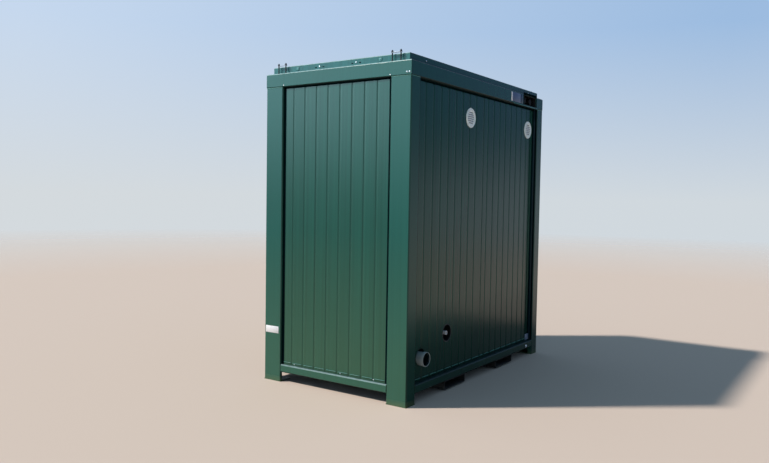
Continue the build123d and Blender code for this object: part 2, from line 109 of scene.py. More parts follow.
# %% [markdown]
# Colours are written as the sRGB hex values that a paint chart or a picture gives. Shader sockets want
# linear light, so one function turns the one into the other. The other helpers keep each material short
# to read: one feeds a node's inputs, one adds a shader node, and one starts a material. An input is fed a
# value, a socket, or a node, which then gives its first output that is in use. A Mix node for colours has
# its sockets at odd numbers, so these get names.

# %% Helpers for materials
FACTOR, COLOUR_A, COLOUR_B = 0, 6, 7


def linear(hex_colour):
    """The linear colour of an sRGB hex value such as "#1f5446"."""
    channels = [int(hex_colour[i : i + 2], 16) / 255 for i in (1, 3, 5)]
    return (*[c / 12.92 if c <= 0.04045 else ((c + 0.055) / 1.055) ** 2.4 for c in channels], 1.0)


def feed(tree, node, inputs):
    """Gives each input a value, or a link from a socket or from a node's first output in use."""
    for name, source in inputs.items():
        if isinstance(source, bpy.types.Node):
            source = next(output for output in source.outputs if output.enabled)
        if isinstance(source, bpy.types.NodeSocket):
            tree.links.new(source, node.inputs[name])
        else:
            node.inputs[name].default_value = source


def add(tree, kind, inputs=None, **settings):
    """Adds a shader node with its settings and its inputs."""
    node = tree.nodes.new("ShaderNode" + kind)
    for name, value in settings.items():
        setattr(node, name, value)
    feed(tree, node, inputs or {})
    return node


def new_material(name):
    """A material with its tree, its surface shader and its object coordinates."""
    material = bpy.data.materials.new(name)
    material.use_nodes = True
    tree = material.node_tree
    return material, tree, tree.nodes["Principled BSDF"], add(tree, "TexCoord").outputs["Object"]


print("moss green is", [round(c, 3) for c in linear("#1f5446")])

# %% [markdown]
# The camera stands where the photographer stood: its place, turn and lens were fitted to the straight
# edges of the cabin in the photograph. It looks slightly down and leans by about a degree.

# %% Camera
camera_place = Vector((-5.516, -3.443, 1.527))
yaw, pitch, roll = (math.radians(angle) for angle in (55.60, -2.79, 0.92))
forward = Vector((math.sin(yaw) * math.cos(pitch), math.cos(yaw) * math.cos(pitch), math.sin(pitch)))
level_right = Vector((math.cos(yaw), -math.sin(yaw), 0))
level_up = level_right.cross(forward)
camera_right = level_right * math.cos(roll) + level_up * math.sin(roll)
camera_up = level_up * math.cos(roll) - level_right * math.sin(roll)
camera_data = bpy.data.cameras.new("camera")
camera_data.sensor_width = 36
camera_data.lens = 33.565
camera = bpy.data.objects.new("camera", camera_data)
scene.collection.objects.link(camera)
turn = Matrix((camera_right, camera_up, -forward)).transposed().to_4x4()
camera.matrix_world = Matrix.Translation(camera_place) @ turn
scene.camera = camera
print("camera at", tuple(round(v, 2) for v in camera_place), "lens", camera_data.lens)

# %% [markdown]
# The stage is a plain pale floor that fades out far away, so no edge of it shows. Gloss paint shows its
# surroundings, so the floor also matters as what the lower half of each wall reflects.

# %% Floor
FLOOR_HALF = 60
FADE_FROM, FADE_TO = 9.0, 26.0
floor_mesh = bmesh.new()
bmesh.ops.create_grid(floor_mesh, x_segments=1, y_segments=1, size=FLOOR_HALF)
floor_data = bpy.data.meshes.new("floor")
floor_mesh.to_mesh(floor_data)
floor_mesh.free()
floor = bpy.data.objects.new("floor", floor_data)
scene.collection.objects.link(floor)
floor_paint, tree, surface, where = new_material("pale_floor")
feed(tree, surface, {"Base Color": linear("#cfc0b6"), "Roughness": 0.9, "Specular IOR Level": 0.3})
distance = add(tree, "VectorMath", {0: where}, operation="LENGTH")
fade = add(tree, "MapRange", {"Value": distance, "From Min": FADE_FROM, "From Max": FADE_TO})
blend = add(tree, "MixShader", {0: fade, 1: surface, 2: add(tree, "BsdfTransparent")})
feed(tree, tree.nodes["Material Output"], {"Surface": blend})
floor_data.materials.append(floor_paint)
print("floor", 2 * FLOOR_HALF, "m wide")

# %% [markdown]
# The background is a sky that only the camera, mirror-like reflections and glass see. The gloss of each
# wall shows the low part of the sky that the wall faces, so that part differs round the horizon: pale
# blue to the right of the view, whiter to the left and bright near the lamp, as a real sky is. Away from
# the lamp it is a deep blue, but only in reflections, so that every view keeps a pale backdrop. In gloss
# alone a low band of glare lies under the lamp. The light on the cabin comes from a weaker, even, bluish
# world and one lamp that stands behind the left of the cabin.

# %% World
world = bpy.data.worlds.new("studio")
scene.world = world
world.use_nodes = True
tree = world.node_tree
tree.nodes.clear()
even_light = add(tree, "Background", {"Color": linear("#b6dbf8"), "Strength": 0.34})
ray = add(tree, "LightPath").outputs
direction = add(tree, "TexCoord").outputs["Generated"]
height = add(tree, "SeparateXYZ", {0: direction}).outputs["Z"]
rise = add(tree, "MapRange", {"Value": height, "From Max": 0.25})
sky_tones = (
    ((0.0, "#bcc6d2"), (0.35, "#5a7399"), (0.8, "#6287c2")),
    ((0.0, "#d0d8de"), (0.88, "#9dbce0")),
    ((0.0, "#d4dade"), (0.88, "#c6d8ee")),
    ((0.0, "#c4ccd0"), (0.25, "#cbefff")),
)
skies = []
for tones in sky_tones:
    ramp = add(tree, "ValToRGB", {0: rise})
    ramp.color_ramp.elements.remove(ramp.color_ramp.elements[1])
    ramp.color_ramp.elements[0].color = linear(tones[0][1])
    for position, tone in tones[1:]:
        ramp.color_ramp.elements.new(position).color = linear(tone)
    skies.append(ramp)
far_sky, right_sky, left_sky, lamp_sky = skies
TOWARDS_LAMP_LEVEL = (-0.64, 0.77, 0.0)
aim = add(tree, "VectorMath", {0: direction, 1: TOWARDS_LAMP_LEVEL}, operation="DOT_PRODUCT")
past_far, to_left, near_lamp = [
    add(tree, "MapRange", {"Value": aim, "From Min": low, "From Max": high})
    for low, high in ((-0.86, -0.58), (-0.5, 0.36), (0.6, 0.92))
]
ahead = add(tree, "Mix", {FACTOR: to_left, COLOUR_A: right_sky, COLOUR_B: left_sky}, data_type="RGBA")
pale_share = add(tree, "Math", {0: past_far, 1: ray["Is Camera Ray"]}, operation="MAXIMUM")
away = add(tree, "Mix", {FACTOR: pale_share, COLOUR_A: far_sky, COLOUR_B: ahead}, data_type="RGBA")
sky = add(tree, "Mix", {FACTOR: near_lamp, COLOUR_A: away, COLOUR_B: lamp_sky}, data_type="RGBA")
glare_rise = add(tree, "MapRange", {"Value": height, "From Max": 0.15, "To Max": 4.2})
glare_fall = add(tree, "MapRange", {"Value": height, "From Min": 0.38, "From Max": 0.22})
glare_band = add(tree, "Math", {0: glare_rise, 1: glare_fall}, operation="MULTIPLY")
glare = add(tree, "Math", {0: near_lamp, 1: glare_band}, operation="MULTIPLY")
strength = add(tree, "Math", {0: glare, 1: ray["Is Glossy Ray"], 2: 1.0}, operation="MULTIPLY_ADD")
backdrop = add(tree, "Background", {"Color": sky, "Strength": strength})
seen = add(tree, "Math", {0: ray["Is Camera Ray"], 1: ray["Is Glossy Ray"]}, operation="ADD")
seen_all = add(tree, "Math", {0: seen, 1: ray["Is Transmission Ray"]}, operation="ADD", use_clamp=True)
blend = add(tree, "MixShader", {0: seen_all, 1: even_light, 2: backdrop})
add(tree, "OutputWorld", {"Surface": blend})
print("world: even light and", len(skies), "skies")

# %% Lamp
lamp_data = bpy.data.lights.new("sun_lamp", "SUN")
lamp_data.energy = 3.9
lamp_data.angle = math.radians(3)
lamp_data.color = linear("#fff6ea")[:3]
lamp = bpy.data.objects.new("sun_lamp", lamp_data)
scene.collection.objects.link(lamp)
towards_lamp = Vector((-1.501, 1.884, 2.502))
lamp.rotation_mode = "QUATERNION"
lamp.rotation_quaternion = towards_lamp.to_track_quat("Z", "Y")
scene.view_settings.view_transform = "Standard"
print("lamp", lamp_data.energy, "from", tuple(round(v, 2) for v in towards_lamp.normalized()))

# %% [markdown]
# Nearly all that shows is steel under a coat of moss green paint. The frame is sprayed after welding and
# the cladding is coil-coated sheet, so the two share one recipe with slightly different colours. What
# makes it look like paint on sheet steel is small: patches of fading, fine upright streaks where rain ran
# down, and a surface that is never quite flat. The Bevel node rounds the look of every fold by a few
# millimetres, as bending the sheet does, and the rounded normal tells what faces up, down or along X.
#
# Each paint has two colours, and the faces along X, the short ends, take the lighter one: painted sunlight
# on the ends, painted shade on the long sides. Five thin layers lie on the coat, each with its colour, what
# it follows, where it starts and is full, how much it hides at most, and what limits it. What turns down on
# the long sides is darkened, as painted shade. What faces up is darkened, as painted shade, and on the
# paints of the sunlit short ends it is pale instead, a painted highlight that reads as a bright line along
# each fold. The short ends have a pale haze low down, a painted reflection of the lit floor. The long sides
# are darker towards the foot, as painted shade, and soil sits on the lowest 50 mm. The coat is rougher under
# the dark underside, the up-facing layer and the soil, and it shines less where the foot is darkened or it
# faces up or down.

# %% Painted steel
STREAK_WIDTH = 24 * MM
STREAK_LENGTH = 2.5
WAVE_WIDTH = 160 * MM
WAVES_PER_METRE_UP = 1.1
PEEL_SIZE = 4 * MM  # orange peel is about 1 mm wide, and is drawn coarser so that it shows at all
PEEL_DEPTH = 0.05 * MM
# The dark ledge tone is painted shade on what faces up, and the pale one is a painted highlight along sunlit
# folds.
LEDGE_SHADE = "#0a1b1b"
LEDGE_HIGHLIGHT = "#abd4dc"


def painted_steel(name, colour, sunlit_end_colour, roughness, waviness, streaking, painted_ledge_tone=LEDGE_SHADE, fold_radius=5):
    """Sprayed or coil-coated steel: ends painted lighter, streaks, five layers of painted light, shade and
    soil, and a wavy gloss.

    The waves' height and the folds' radius are in millimetres.
    """
    material, tree, surface, where = new_material(name)
    height = add(tree, "SeparateXYZ", {0: where}).outputs["Z"]
    rounded = add(tree, "Bevel", {"Radius": fold_radius * MM}, samples=8)
    facing = add(tree, "SeparateXYZ", {0: rounded}).outputs
    # The faces along X take the lighter second colour: painted sunlight on the short ends and painted shade
    # on the long sides. Random patches shift the mix a little.
    along = add(tree, "Math", {0: facing["X"]}, operation="ABSOLUTE")
    end_share = add(tree, "MapRange", {"Value": along, "From Min": 0.7, "From Max": 0.95})
    side_share = add(tree, "Math", {0: 1.0, 1: end_share}, operation="SUBTRACT")

    patches = add(tree, "TexNoise", {"Vector": where, "Scale": 1.3, "Detail": 3.0})
    patch_range = {"Value": patches, "From Min": 0.35, "From Max": 0.7, "To Min": -0.15, "To Max": 0.15}
    patch_share = add(tree, "MapRange", patch_range)
    sunlit_end_and_patch_share = add(tree, "Math", {0: end_share, 1: patch_share}, operation="ADD", use_clamp=True)
    tones = {FACTOR: sunlit_end_and_patch_share, COLOUR_A: linear(colour), COLOUR_B: linear(sunlit_end_colour)}
    coat = add(tree, "Mix", tones, data_type="RGBA")
    streak_scale = (1 / STREAK_WIDTH, 1 / STREAK_WIDTH, 1 / STREAK_LENGTH)
    streak_space = add(tree, "Mapping", {"Vector": where, "Scale": streak_scale})
    streaks = add(tree, "TexNoise", {"Vector": streak_space, "Scale": 1.0, "Detail": 4.0})
    streak_range = {"From Min": 0.3, "From Max": 0.7, "To Min": 1 - streaking, "To Max": 1 + streaking}
    streak_tone = add(tree, "MapRange", {"Value": streaks, **streak_range})
    streaked = {FACTOR: 1.0, COLOUR_A: coat, COLOUR_B: streak_tone}
    tone = add(tree, "Mix", streaked, data_type="RGBA", blend_type="MULTIPLY")

    grime = add(tree, "TexNoise", {"Vector": where, "Scale": 26.0, "Detail": 5.0, "Roughness": 0.65})
    grime_tone = add(tree, "MapRange", {"Value": grime, "From Min": 0.3, "From Max": 0.6, "To Min": 0.45})
    layers = (
        # painted shade: what turns down on the long sides is darkened
        ("#07191a", facing["Z"], -0.1, -0.5, 0.9, side_share),
        # painted shade on what faces up, or a painted highlight with the pale tone, broken by grime noise
        (painted_ledge_tone, facing["Z"], 0.35, 0.75, 0.95, grime_tone),
        # painted reflection: a pale haze low on the short ends stands in for light from the lit floor
        ("#98ae6c", height, 1.25, 0.25, 0.08, end_share),
        # painted shade: the long sides are darker towards the foot
        ("#06201d", height, 0.72, 0.36, 0.55, side_share),
        ("#5d6a45", height, 0.05, 0.0, 0.6, grime_tone),
    )
    shares = []
    for layer_colour, follows, start, full, most, limit in layers:
        amount_range = {"Value": follows, "From Min": start, "From Max": full, "To Max": most}
        amount = add(tree, "MapRange", amount_range)
        share = add(tree, "Math", {0: amount, 1: limit}, operation="MULTIPLY")
        layered = {FACTOR: share, COLOUR_A: tone, COLOUR_B: linear(layer_colour)}
        tone = add(tree, "Mix", layered, data_type="RGBA")
        shares.append(share)
    painted_underside_shade, painted_ledge_share, _, painted_foot_shade, soil = shares

    dull = add(tree, "Math", {0: painted_ledge_share, 1: soil}, operation="MAXIMUM")
    duller = add(tree, "Math", {0: dull, 1: painted_underside_shade}, operation="MAXIMUM")
    gloss = add(tree, "MapRange", {"Value": duller, "To Min": roughness, "To Max": roughness + 0.35})
    tilt = add(tree, "Math", {0: facing["Z"]}, operation="ABSOLUTE")
    fold = add(tree, "MapRange", {"Value": tilt, "From Min": 0.1, "From Max": 0.5, "To Max": 0.55})
    dim = add(tree, "Math", {0: painted_foot_shade, 1: fold}, operation="MAXIMUM")
    shine = add(tree, "MapRange", {"Value": dim, "From Max": 0.55, "To Min": 0.36, "To Max": 0.18})

    wave_scale = (1 / WAVE_WIDTH, 1 / WAVE_WIDTH, WAVES_PER_METRE_UP)
    wave_space = add(tree, "Mapping", {"Vector": where, "Scale": wave_scale})
    waves = add(tree, "TexNoise", {"Vector": wave_space, "Scale": 1.0, "Detail": 2.0})
    wave_height = {"Height": waves, "Normal": rounded, "Strength": 1.0, "Distance": waviness * MM}
    wavy = add(tree, "Bump", wave_height)
    peel = add(tree, "TexNoise", {"Vector": where, "Scale": 1 / PEEL_SIZE, "Detail": 1.0})
    orange_peel = {"Height": peel, "Normal": wavy, "Strength": 0.5, "Distance": PEEL_DEPTH}
    relief = add(tree, "Bump", orange_peel)
    looks = {"Base Color": tone, "Roughness": gloss, "Specular IOR Level": shine, "Normal": relief}
    feed(tree, surface, looks)
    return material


# In each paint the first colour is for the long sides, and the second, lighter one is painted sunlight for
# the ends.
frame_paint = painted_steel("sprayed_moss_green_paint", "#0f443a", "#0d564e", 0.25, 1.0, 0.06)
# This copy has pale up-facing folds, a painted highlight.
highlighted_ledge_paint = painted_steel("moss_green_paint_with_painted_ledge_highlight", "#0f443a", "#0d564e", 0.25, 1.0, 0.06, LEDGE_HIGHLIGHT)
cladding_coat = painted_steel("coil_coated_moss_green_sheet", "#0d4033", "#115046", 0.2, 1.6, 0.12, LEDGE_SHADE, 9)
door_paint = painted_steel("moss_green_door_paint", "#12493b", "#165243", 0.34, 0.8, 0.05)
# Its pale second colour on the short ends is a painted reflection of the bright sky.
rim_paint = painted_steel("rim_paint_with_painted_sky_reflection", "#14433f", "#2a6a6b", 0.34, 0.8, 0.16, LEDGE_HIGHLIGHT)
print("paints:", frame_paint.name, highlighted_ledge_paint.name, cladding_coat.name, door_paint.name, rim_paint.name)

# %% [markdown]
# The metals that stay bare are zinc-plated bolts, dull lifting studs, satin steel door furniture and the
# galvanised roof. Zinc plate is bright with a slight cloudiness. Hot-dip galvanising shows its crystals,
# the spangle, as facets of 10 to 20 mm in slightly different greys, which a Voronoi texture draws, and it
# weathers to a dull grey skin, so it is less metallic and rougher than the plated parts.

# %% Bare metals
SPANGLE_SIZE = 16 * MM


def bare_metal(name, colour, cloud, roughness, cloud_size, relief):
    """A bare metal whose tone and gloss drift between two colours, with its lengths in millimetres."""
    material, tree, surface, where = new_material(name)
    clouds = add(tree, "TexNoise", {"Vector": where, "Scale": 1 / (cloud_size * MM), "Detail": 5.0})
    tones = {FACTOR: clouds, COLOUR_A: linear(colour), COLOUR_B: linear(cloud)}
    tone = add(tree, "Mix", tones, data_type="RGBA")
    gloss_range = {"Value": clouds, "To Min": roughness - 0.06, "To Max": roughness + 0.12}
    gloss = add(tree, "MapRange", gloss_range)
    bump = add(tree, "Bump", {"Height": clouds, "Strength": 0.4, "Distance": relief * MM})
    feed(tree, surface, {"Base Color": tone, "Roughness": gloss, "Normal": bump, "Metallic": 1.0})
    return material


bright_zinc = bare_metal("bright_zinc_plate", "#dfe3e6", "#c2c7cc", 0.30, 6, 0.05)
dull_steel = bare_metal("blackened_steel", "#2f3338", "#1f2226", 0.48, 5, 0.1)
satin_steel = bare_metal("satin_stainless_steel", "#b9bbbb", "#a3a5a6", 0.34, 2.5, 0.03)
mill_aluminium = bare_metal("mill_finish_aluminium", "#c3c6c8", "#a9adb0", 0.38, 11, 0.05)

galvanised, tree, surface, where = new_material("hot_dip_galvanised_sheet")
spangle = add(tree, "TexVoronoi", {"Vector": where, "Scale": 1 / SPANGLE_SIZE}).outputs["Color"]
greys = {FACTOR: spangle, COLOUR_A: linear("#8d9499"), COLOUR_B: linear("#b3b8bc")}
spangled = add(tree, "Mix", greys, data_type="RGBA")
weather = add(tree, "TexNoise", {"Vector": where, "Scale": 3.0, "Detail": 6.0})
weather_share = add(tree, "MapRange", {"Value": weather, "From Min": 0.45, "From Max": 0.8, "To Max": 0.5})
weathered = {FACTOR: weather_share, COLOUR_A: spangled, COLOUR_B: linear("#868b8d")}
tone = add(tree, "Mix", weathered, data_type="RGBA")
feed(tree, surface, {"Base Color": tone, "Metallic": 0.75, "Roughness": 0.6})
print("metals: zinc, dull steel, satin steel, aluminium, galvanised sheet")

# %% [markdown]
# The other finishes are plastics, rubber, films, coated board and the thick black coating under the floor.
# They all need the same few things: a colour that drifts a little, dirt that gathers, and a fine relief.
# Weathered pale plastic is chalky, and its slight blue tint is painted light, the blue of the shade it
# stands in. Pipe plastic is mid grey, and rubber is nearly black and matt, with no shine at all. Its teal
# tint is painted shade, the colour of the shaded green round it.

# %% Plastics, rubber and boards
GRAIN_SIZE = 1.5 * MM
MOULD_EDGE = 1.5 * MM


def moulded(name, colour, soil, roughness, soil_size, relief, soil_most=0.35, shine=0.5):
    """A moulded or coated surface with patches of soil and a fine relief, its lengths in millimetres."""
    material, tree, surface, where = new_material(name)
    patches = add(tree, "TexNoise", {"Vector": where, "Scale": 1 / (soil_size * MM), "Detail": 6.0})
    soil_range = {"Value": patches, "From Min": 0.42, "From Max": 0.78, "To Max": soil_most}
    soil_share = add(tree, "MapRange", soil_range)
    tones = {FACTOR: soil_share, COLOUR_A: linear(colour), COLOUR_B: linear(soil)}
    tone = add(tree, "Mix", tones, data_type="RGBA")
    gloss = add(tree, "MapRange", {"Value": soil_share, "To Min": roughness, "To Max": roughness + 0.25})
    grain = add(tree, "TexNoise", {"Vector": where, "Scale": 1 / GRAIN_SIZE, "Detail": 2.0})
    rounded = add(tree, "Bevel", {"Radius": MOULD_EDGE}, samples=4)
    fine_relief = {"Height": grain, "Normal": rounded, "Strength": 0.4, "Distance": relief * MM}
    bump = add(tree, "Bump", fine_relief)
    looks = {"Base Color": tone, "Roughness": gloss, "Specular IOR Level": shine, "Normal": bump}
    feed(tree, surface, looks)
    return material


# The slight blue tint is painted light, the blue of the shade the vents stand in.
vent_plastic = moulded("weathered_white_plastic", "#f4ffff", "#e9f1f5", 0.26, 60, 0.03, 0.35, 1.0)
louvre_plastic = moulded("soiled_louvre_plastic", "#e6e6ee", "#c4c4d0", 0.5, 24, 0.03, 0.6)
black_plastic = moulded("black_moulded_plastic", "#06090b", "#101416", 0.6, 70, 0.03, 0.35, 0.2)
white_nylon = moulded("white_moulded_nylon", "#cdd3da", "#a7adb6", 0.3, 16, 0.02)
drain_plastic = moulded("grey_pipe_plastic", "#98a7aa", "#7a8688", 0.32, 45, 0.02, 0.5)
inlet_plastic = moulded("dark_grey_inlet_plastic_and_recess_shade", "#17191c", "#2a2d32", 0.42, 40, 0.03)
# The teal tint is painted shade, the colour of the shaded green round the rubber.
rubber = moulded("teal_black_rubber_with_painted_shade_tint", "#04171b", "#0b2227", 0.95, 50, 0.06, 0.35, 0.0)
underframe = moulded("black_underframe_coating", "#0d0f10", "#35322b", 0.55, 110, 0.25, 0.5)
lining_board = moulded("off_white_lining_board", "#d9d8d2", "#c6c4bb", 0.45, 250, 0.05)
vinyl_floor = moulded("grey_vinyl_floor", "#6c7074", "#53565a", 0.48, 11, 0.05)
label_film = moulded("white_label_film", "#eef0f6", "#d2d6e0", 0.32, 33, 0.05)
blue_film = moulded("faded_blue_film", "#4d5c7e", "#3b4672", 0.36, 42, 0.05)
navy_film = moulded("dark_blue_film", "#06263a", "#0b3145", 0.36, 42, 0.05)
cover_plastic = moulded("blue_grey_cover_plastic", "#7f8aa4", "#646e86", 0.4, 20, 0.03)
print("plastics and coatings:", len(bpy.data.materials), "materials so far")

# %% [markdown]
# Each CAD node says in the imported record which material slot it belongs to. One table turns those slots
# into the finishes above, and every node gets its finish through its object's material slot. The rims,
# beams and rails of the short ends stand in the sun, so the rims get a paler coat whose pale ends are a
# painted reflection of the bright sky. The beams and rails get a copy of the frame paint whose up-facing
# folds are pale, a painted highlight.

# %% Finishes for the CAD nodes
finish_of_slot = {
    "frame_paint": frame_paint,
    "cladding_paint": cladding_coat,
    "door_paint": door_paint,
    "hardware_steel": satin_steel,
    "vent_plastic": vent_plastic,
    "recess_plastic": black_plastic,
    "fitting_plastic": white_nylon,
    "drain_plastic": drain_plastic,
    "inlet_plastic": inlet_plastic,
    "bolt_zinc": bright_zinc,
    "stud_steel": dull_steel,
    "underframe_steel": underframe,
    "roof_galvanised": galvanised,
    "lining_board": lining_board,
    "floor_board": vinyl_floor,
}
for subpart in frame["record"]["subparts"]:
    nodes[subpart["node"]].material_slots[0].material = finish_of_slot[subpart["material_slot"]]
# The short ends' rims get the painted sky reflection, and their beams and rails get the painted ledge
# highlight.
for end in ("left", "right"):
    nodes[f"roof_rim_{end}"].material_slots[0].material = rim_paint
    nodes[f"roof_beam_{end}"].material_slots[0].material = highlighted_ledge_paint
    nodes[f"base_rail_{end}"].material_slots[0].material = highlighted_ledge_paint
# The recess's inside takes the dark grey inlet plastic instead of its paint: painted shade for the deep
# recess.
nodes["power_recess"].material_slots[0].material = inlet_plastic

# %% [markdown]
# The added pieces are made with a few mesh tools. A place is a matrix whose Z points out of the face that
# carries the piece and whose Y points up. A block is a cube that is stretched and has its edges bevelled, a
# turned piece is a profile that is spun round the place's Z, as on a lathe, and a hexagon is a six-sided
# prism with bevelled edges. What repeats, such as the bolts of one kind, is built into one mesh.

# %% Mesh helpers
OUT_END = Vector((-1, 0, 0))
OUT_FAR_END = Vector((1, 0, 0))
OUT_SIDE = Vector((0, -1, 0))
OUT_DOORS = Vector((0, 1, 0))
UP = Vector((0, 0, 1))
both_ends = ((end_face, OUT_END), (-end_face, OUT_FAR_END))
both_sides = ((side_face, OUT_SIDE), (-side_face, OUT_DOORS))
end_walls = ((end_wall_face, OUT_END), (-end_wall_face, OUT_FAR_END))
long_walls = ((side_wall_face, OUT_SIDE), (-side_wall_face, OUT_DOORS))


def place_at(point, outward):
    """A place at a point, with its Z along outward and its Y upwards."""
    z_axis = Vector(outward).normalized()
    y_axis = Vector((0, 0, 1)) if abs(z_axis.z) < 0.9 else Vector((0, 1, 0))
    x_axis = y_axis.cross(z_axis).normalized()
    turn = Matrix((x_axis, z_axis.cross(x_axis), z_axis)).transposed().to_4x4()
    return Matrix.Translation(point) @ turn


def bevel(mesh, verts, width, steps=2):
    """Bevels every edge of the part of the mesh that the verts belong to."""
    edges = list({edge for vert in verts for edge in vert.link_edges})
    bmesh.ops.bevel(
        mesh, geom=edges, offset=width, segments=steps, profile=0.5, affect="EDGES", material=-1
    )


def block(mesh, place, centre, size, edge):
    """A block in a place: its centre and size along the place's axes, and its bevel in millimetres."""
    matrix = place @ Matrix.Translation(centre) @ Matrix.Diagonal((*size, 1))
    made = bmesh.ops.create_cube(mesh, size=1, matrix=matrix)
    bevel(mesh, made["verts"], edge * MM)


def turned(mesh, place, profile, steps=32):
    """Spins a profile of (radius, height) points in millimetres round the place's Z."""
    points = [mesh.verts.new(place @ (Vector((radius, 0, height)) * MM)) for radius, height in profile]
    edges = [mesh.edges.new(pair) for pair in zip(points, points[1:])]
    bmesh.ops.spin(
        mesh,
        geom=points + edges,
        cent=place.translation,
        axis=place.col[2].xyz,
        angle=math.tau,
        steps=steps,
        use_merge=True,
    )


def hexagon(mesh, place, across_flats, low, high, edge):
    """A bevelled hexagon prism from one height to another, all in millimetres."""
    radius = across_flats / math.sqrt(3) * MM
    depth = (high - low) * MM
    matrix = place @ Matrix.Translation((0, 0, (low + high) / 2 * MM))
    made = bmesh.ops.create_cone(
        mesh, cap_ends=True, segments=6, radius1=radius, radius2=radius, depth=depth, matrix=matrix
    )
    bevel(mesh, made["verts"], edge * MM, 1)


def finish_piece(mesh, name, material, smooth_below=38):
    """Closes a mesh into a piece that rides on the cabin and takes a material."""
    bmesh.ops.remove_doubles(mesh, verts=mesh.verts, dist=0.00001)
    bmesh.ops.recalc_face_normals(mesh, faces=mesh.faces)
    data = bpy.data.meshes.new(name)
    mesh.to_mesh(data)
    mesh.free()
    data.polygons.foreach_set("use_smooth", [True] * len(data.polygons))
    data.set_sharp_from_angle(angle=math.radians(smooth_below))
    data.materials.append(material)
    piece = bpy.data.objects.new(name, data)
    scene.collection.objects.link(piece)
    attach(piece, "root")
    print(name, len(data.polygons), "faces")
    return piece


print("mesh helpers: block, turned piece, hexagon")

# %% [markdown]
# Two bolts hold the roof frame to each post on the service side. They are zinc-plated M6 bolts on plain
# washers, just above the seam, and they are the brightest points of that corner. Blind rivets sit beside
# the end of each short beam. A rivet's head is a low dome with the small pit that its mandrel leaves.
# The bolt's profile is drawn 17 mm across its flats, and each use scales it to its own size.

# %% Bolt, rivet and screw heads
BOLT_ACROSS = 17
BOLT_HEAD = 6.5
WASHER_THICKNESS = 2


def hex_bolt(mesh, place, scale):
    """A hexagon head with a slightly domed top on a plain washer."""
    washer = [(0, 0), (10.5, 0), (10.5, 1.6), (9.9, WASHER_THICKNESS), (0, WASHER_THICKNESS)]
    turned(mesh, place, [(radius * scale, height * scale) for radius, height in washer], 24)
    seat = WASHER_THICKNESS * scale
    hexagon(mesh, place, BOLT_ACROSS * scale, seat, seat + BOLT_HEAD * scale, 0.9 * scale)
    dome = [(7.1, 8.4), (6.4, 8.9), (0, 9.1), (0, 8.3), (7.1, 8.4)]
    turned(mesh, place, [(radius * scale, height * scale) for radius, height in dome], 18)


def rivet(mesh, place, radius):
    """A domed blind rivet head of the given radius in millimetres."""
    shares = [(0, 0), (1, 0), (1, 0.15), (0.82, 0.38), (0.4, 0.5), (0.3, 0.36), (0, 0.34)]
    turned(mesh, place, [(radius * out, radius * up) for out, up in shares], 18)


def pan_screw(mesh, place, radius):
    """A pan head screw of the given radius in millimetres."""
    turned(mesh, place, [(0, 0), (radius, 0), (radius, 0.5), (0.8 * radius, 1.5), (0, 1.9), (0, 0)], 16)


CORNER_BOLT_YS = (-0.660, -0.682)
CORNER_BOLT_RISE = 25 * MM
CORNER_BOLT_SCALE = 0.6
FRAME_RIVET_Y = 0.515
FRAME_RIVET_RISE = 15 * MM
corner_bolts = bmesh.new()
frame_rivets = bmesh.new()
for x, outward in both_ends:
    for y in CORNER_BOLT_YS:
        spot = place_at((x, y, seam_level + CORNER_BOLT_RISE), outward)
        hex_bolt(corner_bolts, spot, CORNER_BOLT_SCALE)
    for y in (-FRAME_RIVET_Y, FRAME_RIVET_Y):
        rivet(frame_rivets, place_at((x, y, seam_level + FRAME_RIVET_RISE), outward), 4.5)
finish_piece(corner_bolts, "corner_bolts", bright_zinc)
finish_piece(frame_rivets, "frame_rivets", bright_zinc)

# %% [markdown]
# Where the roof frame stands on a post there is a seam right round the corner. It is filled with a bead
# of sealant that was painted over, a thin rounded line, and the bead is lighter than the paint beside it as
# a painted highlight of the lit seam. Where the rails meet the posts they are welded, and the weld is a
# narrow rounded bead up the joint.

# %% Seam and weld beads
# The sealant's pale tone is a painted highlight, and the drip lips use it too.
highlighted_sealant_paint = moulded("seam_sealant_with_painted_highlight", "#45857c", "#376f68", 0.42, 60, 0.05)
BEAD = 5.0 * MM
BEAD_PROUD = 1.0 * MM
BEAD_SHORT = 8 * MM
post_along = post_inner_x - end_face
post_across = post_inner_y - side_face
weld_middle = (rail_low + rail_top) / 2
weld_size = (5 * MM, rail_top - rail_low - 6 * MM, 3 * MM)
seam_beads = bmesh.new()
weld_beads = bmesh.new()
for x, end_out in both_ends:
    for y, side_out in both_sides:
        across = place_at((x, y - math.copysign(post_across / 2, y), seam_level), end_out)
        block(seam_beads, across, (0, 0, 0), (post_across - BEAD_SHORT, BEAD, 2 * BEAD_PROUD), 0.6)
        along = place_at((x - math.copysign(post_along / 2, x), y, seam_level), side_out)
        block(seam_beads, along, (0, 0, 0), (post_along - BEAD_SHORT, BEAD, 2 * BEAD_PROUD), 0.6)
        end_joint = place_at((x, math.copysign(post_inner_y, y), weld_middle), end_out)
        block(weld_beads, end_joint, (0, 0, 0), weld_size, 1.3)
        side_joint = place_at((math.copysign(post_inner_x, x), y, weld_middle), side_out)
        block(weld_beads, side_joint, (0, 0, 0), weld_size, 1.3)
finish_piece(seam_beads, "seam_beads", highlighted_sealant_paint)
finish_piece(weld_beads, "weld_beads", frame_paint)

# %% [markdown]
# The cladding meets the frame with a black rubber strip up both ends and along its top, which reads as a
# dark line round every panel. The strips are partly painted shade: they fill part of the bands where the
# posts and the beam cast their shadow. Beside the long walls the posts turn in, and that return is covered
# with painted shade: a dark blue-green strip next to the sheet, and black rubber farther out. At its foot
# the sheet is folded out into a small drip lip between the grooves, pale as a painted highlight of its lit
# edge, and under it lies shade. A block is enough for a lip, because its edges are bevelled.

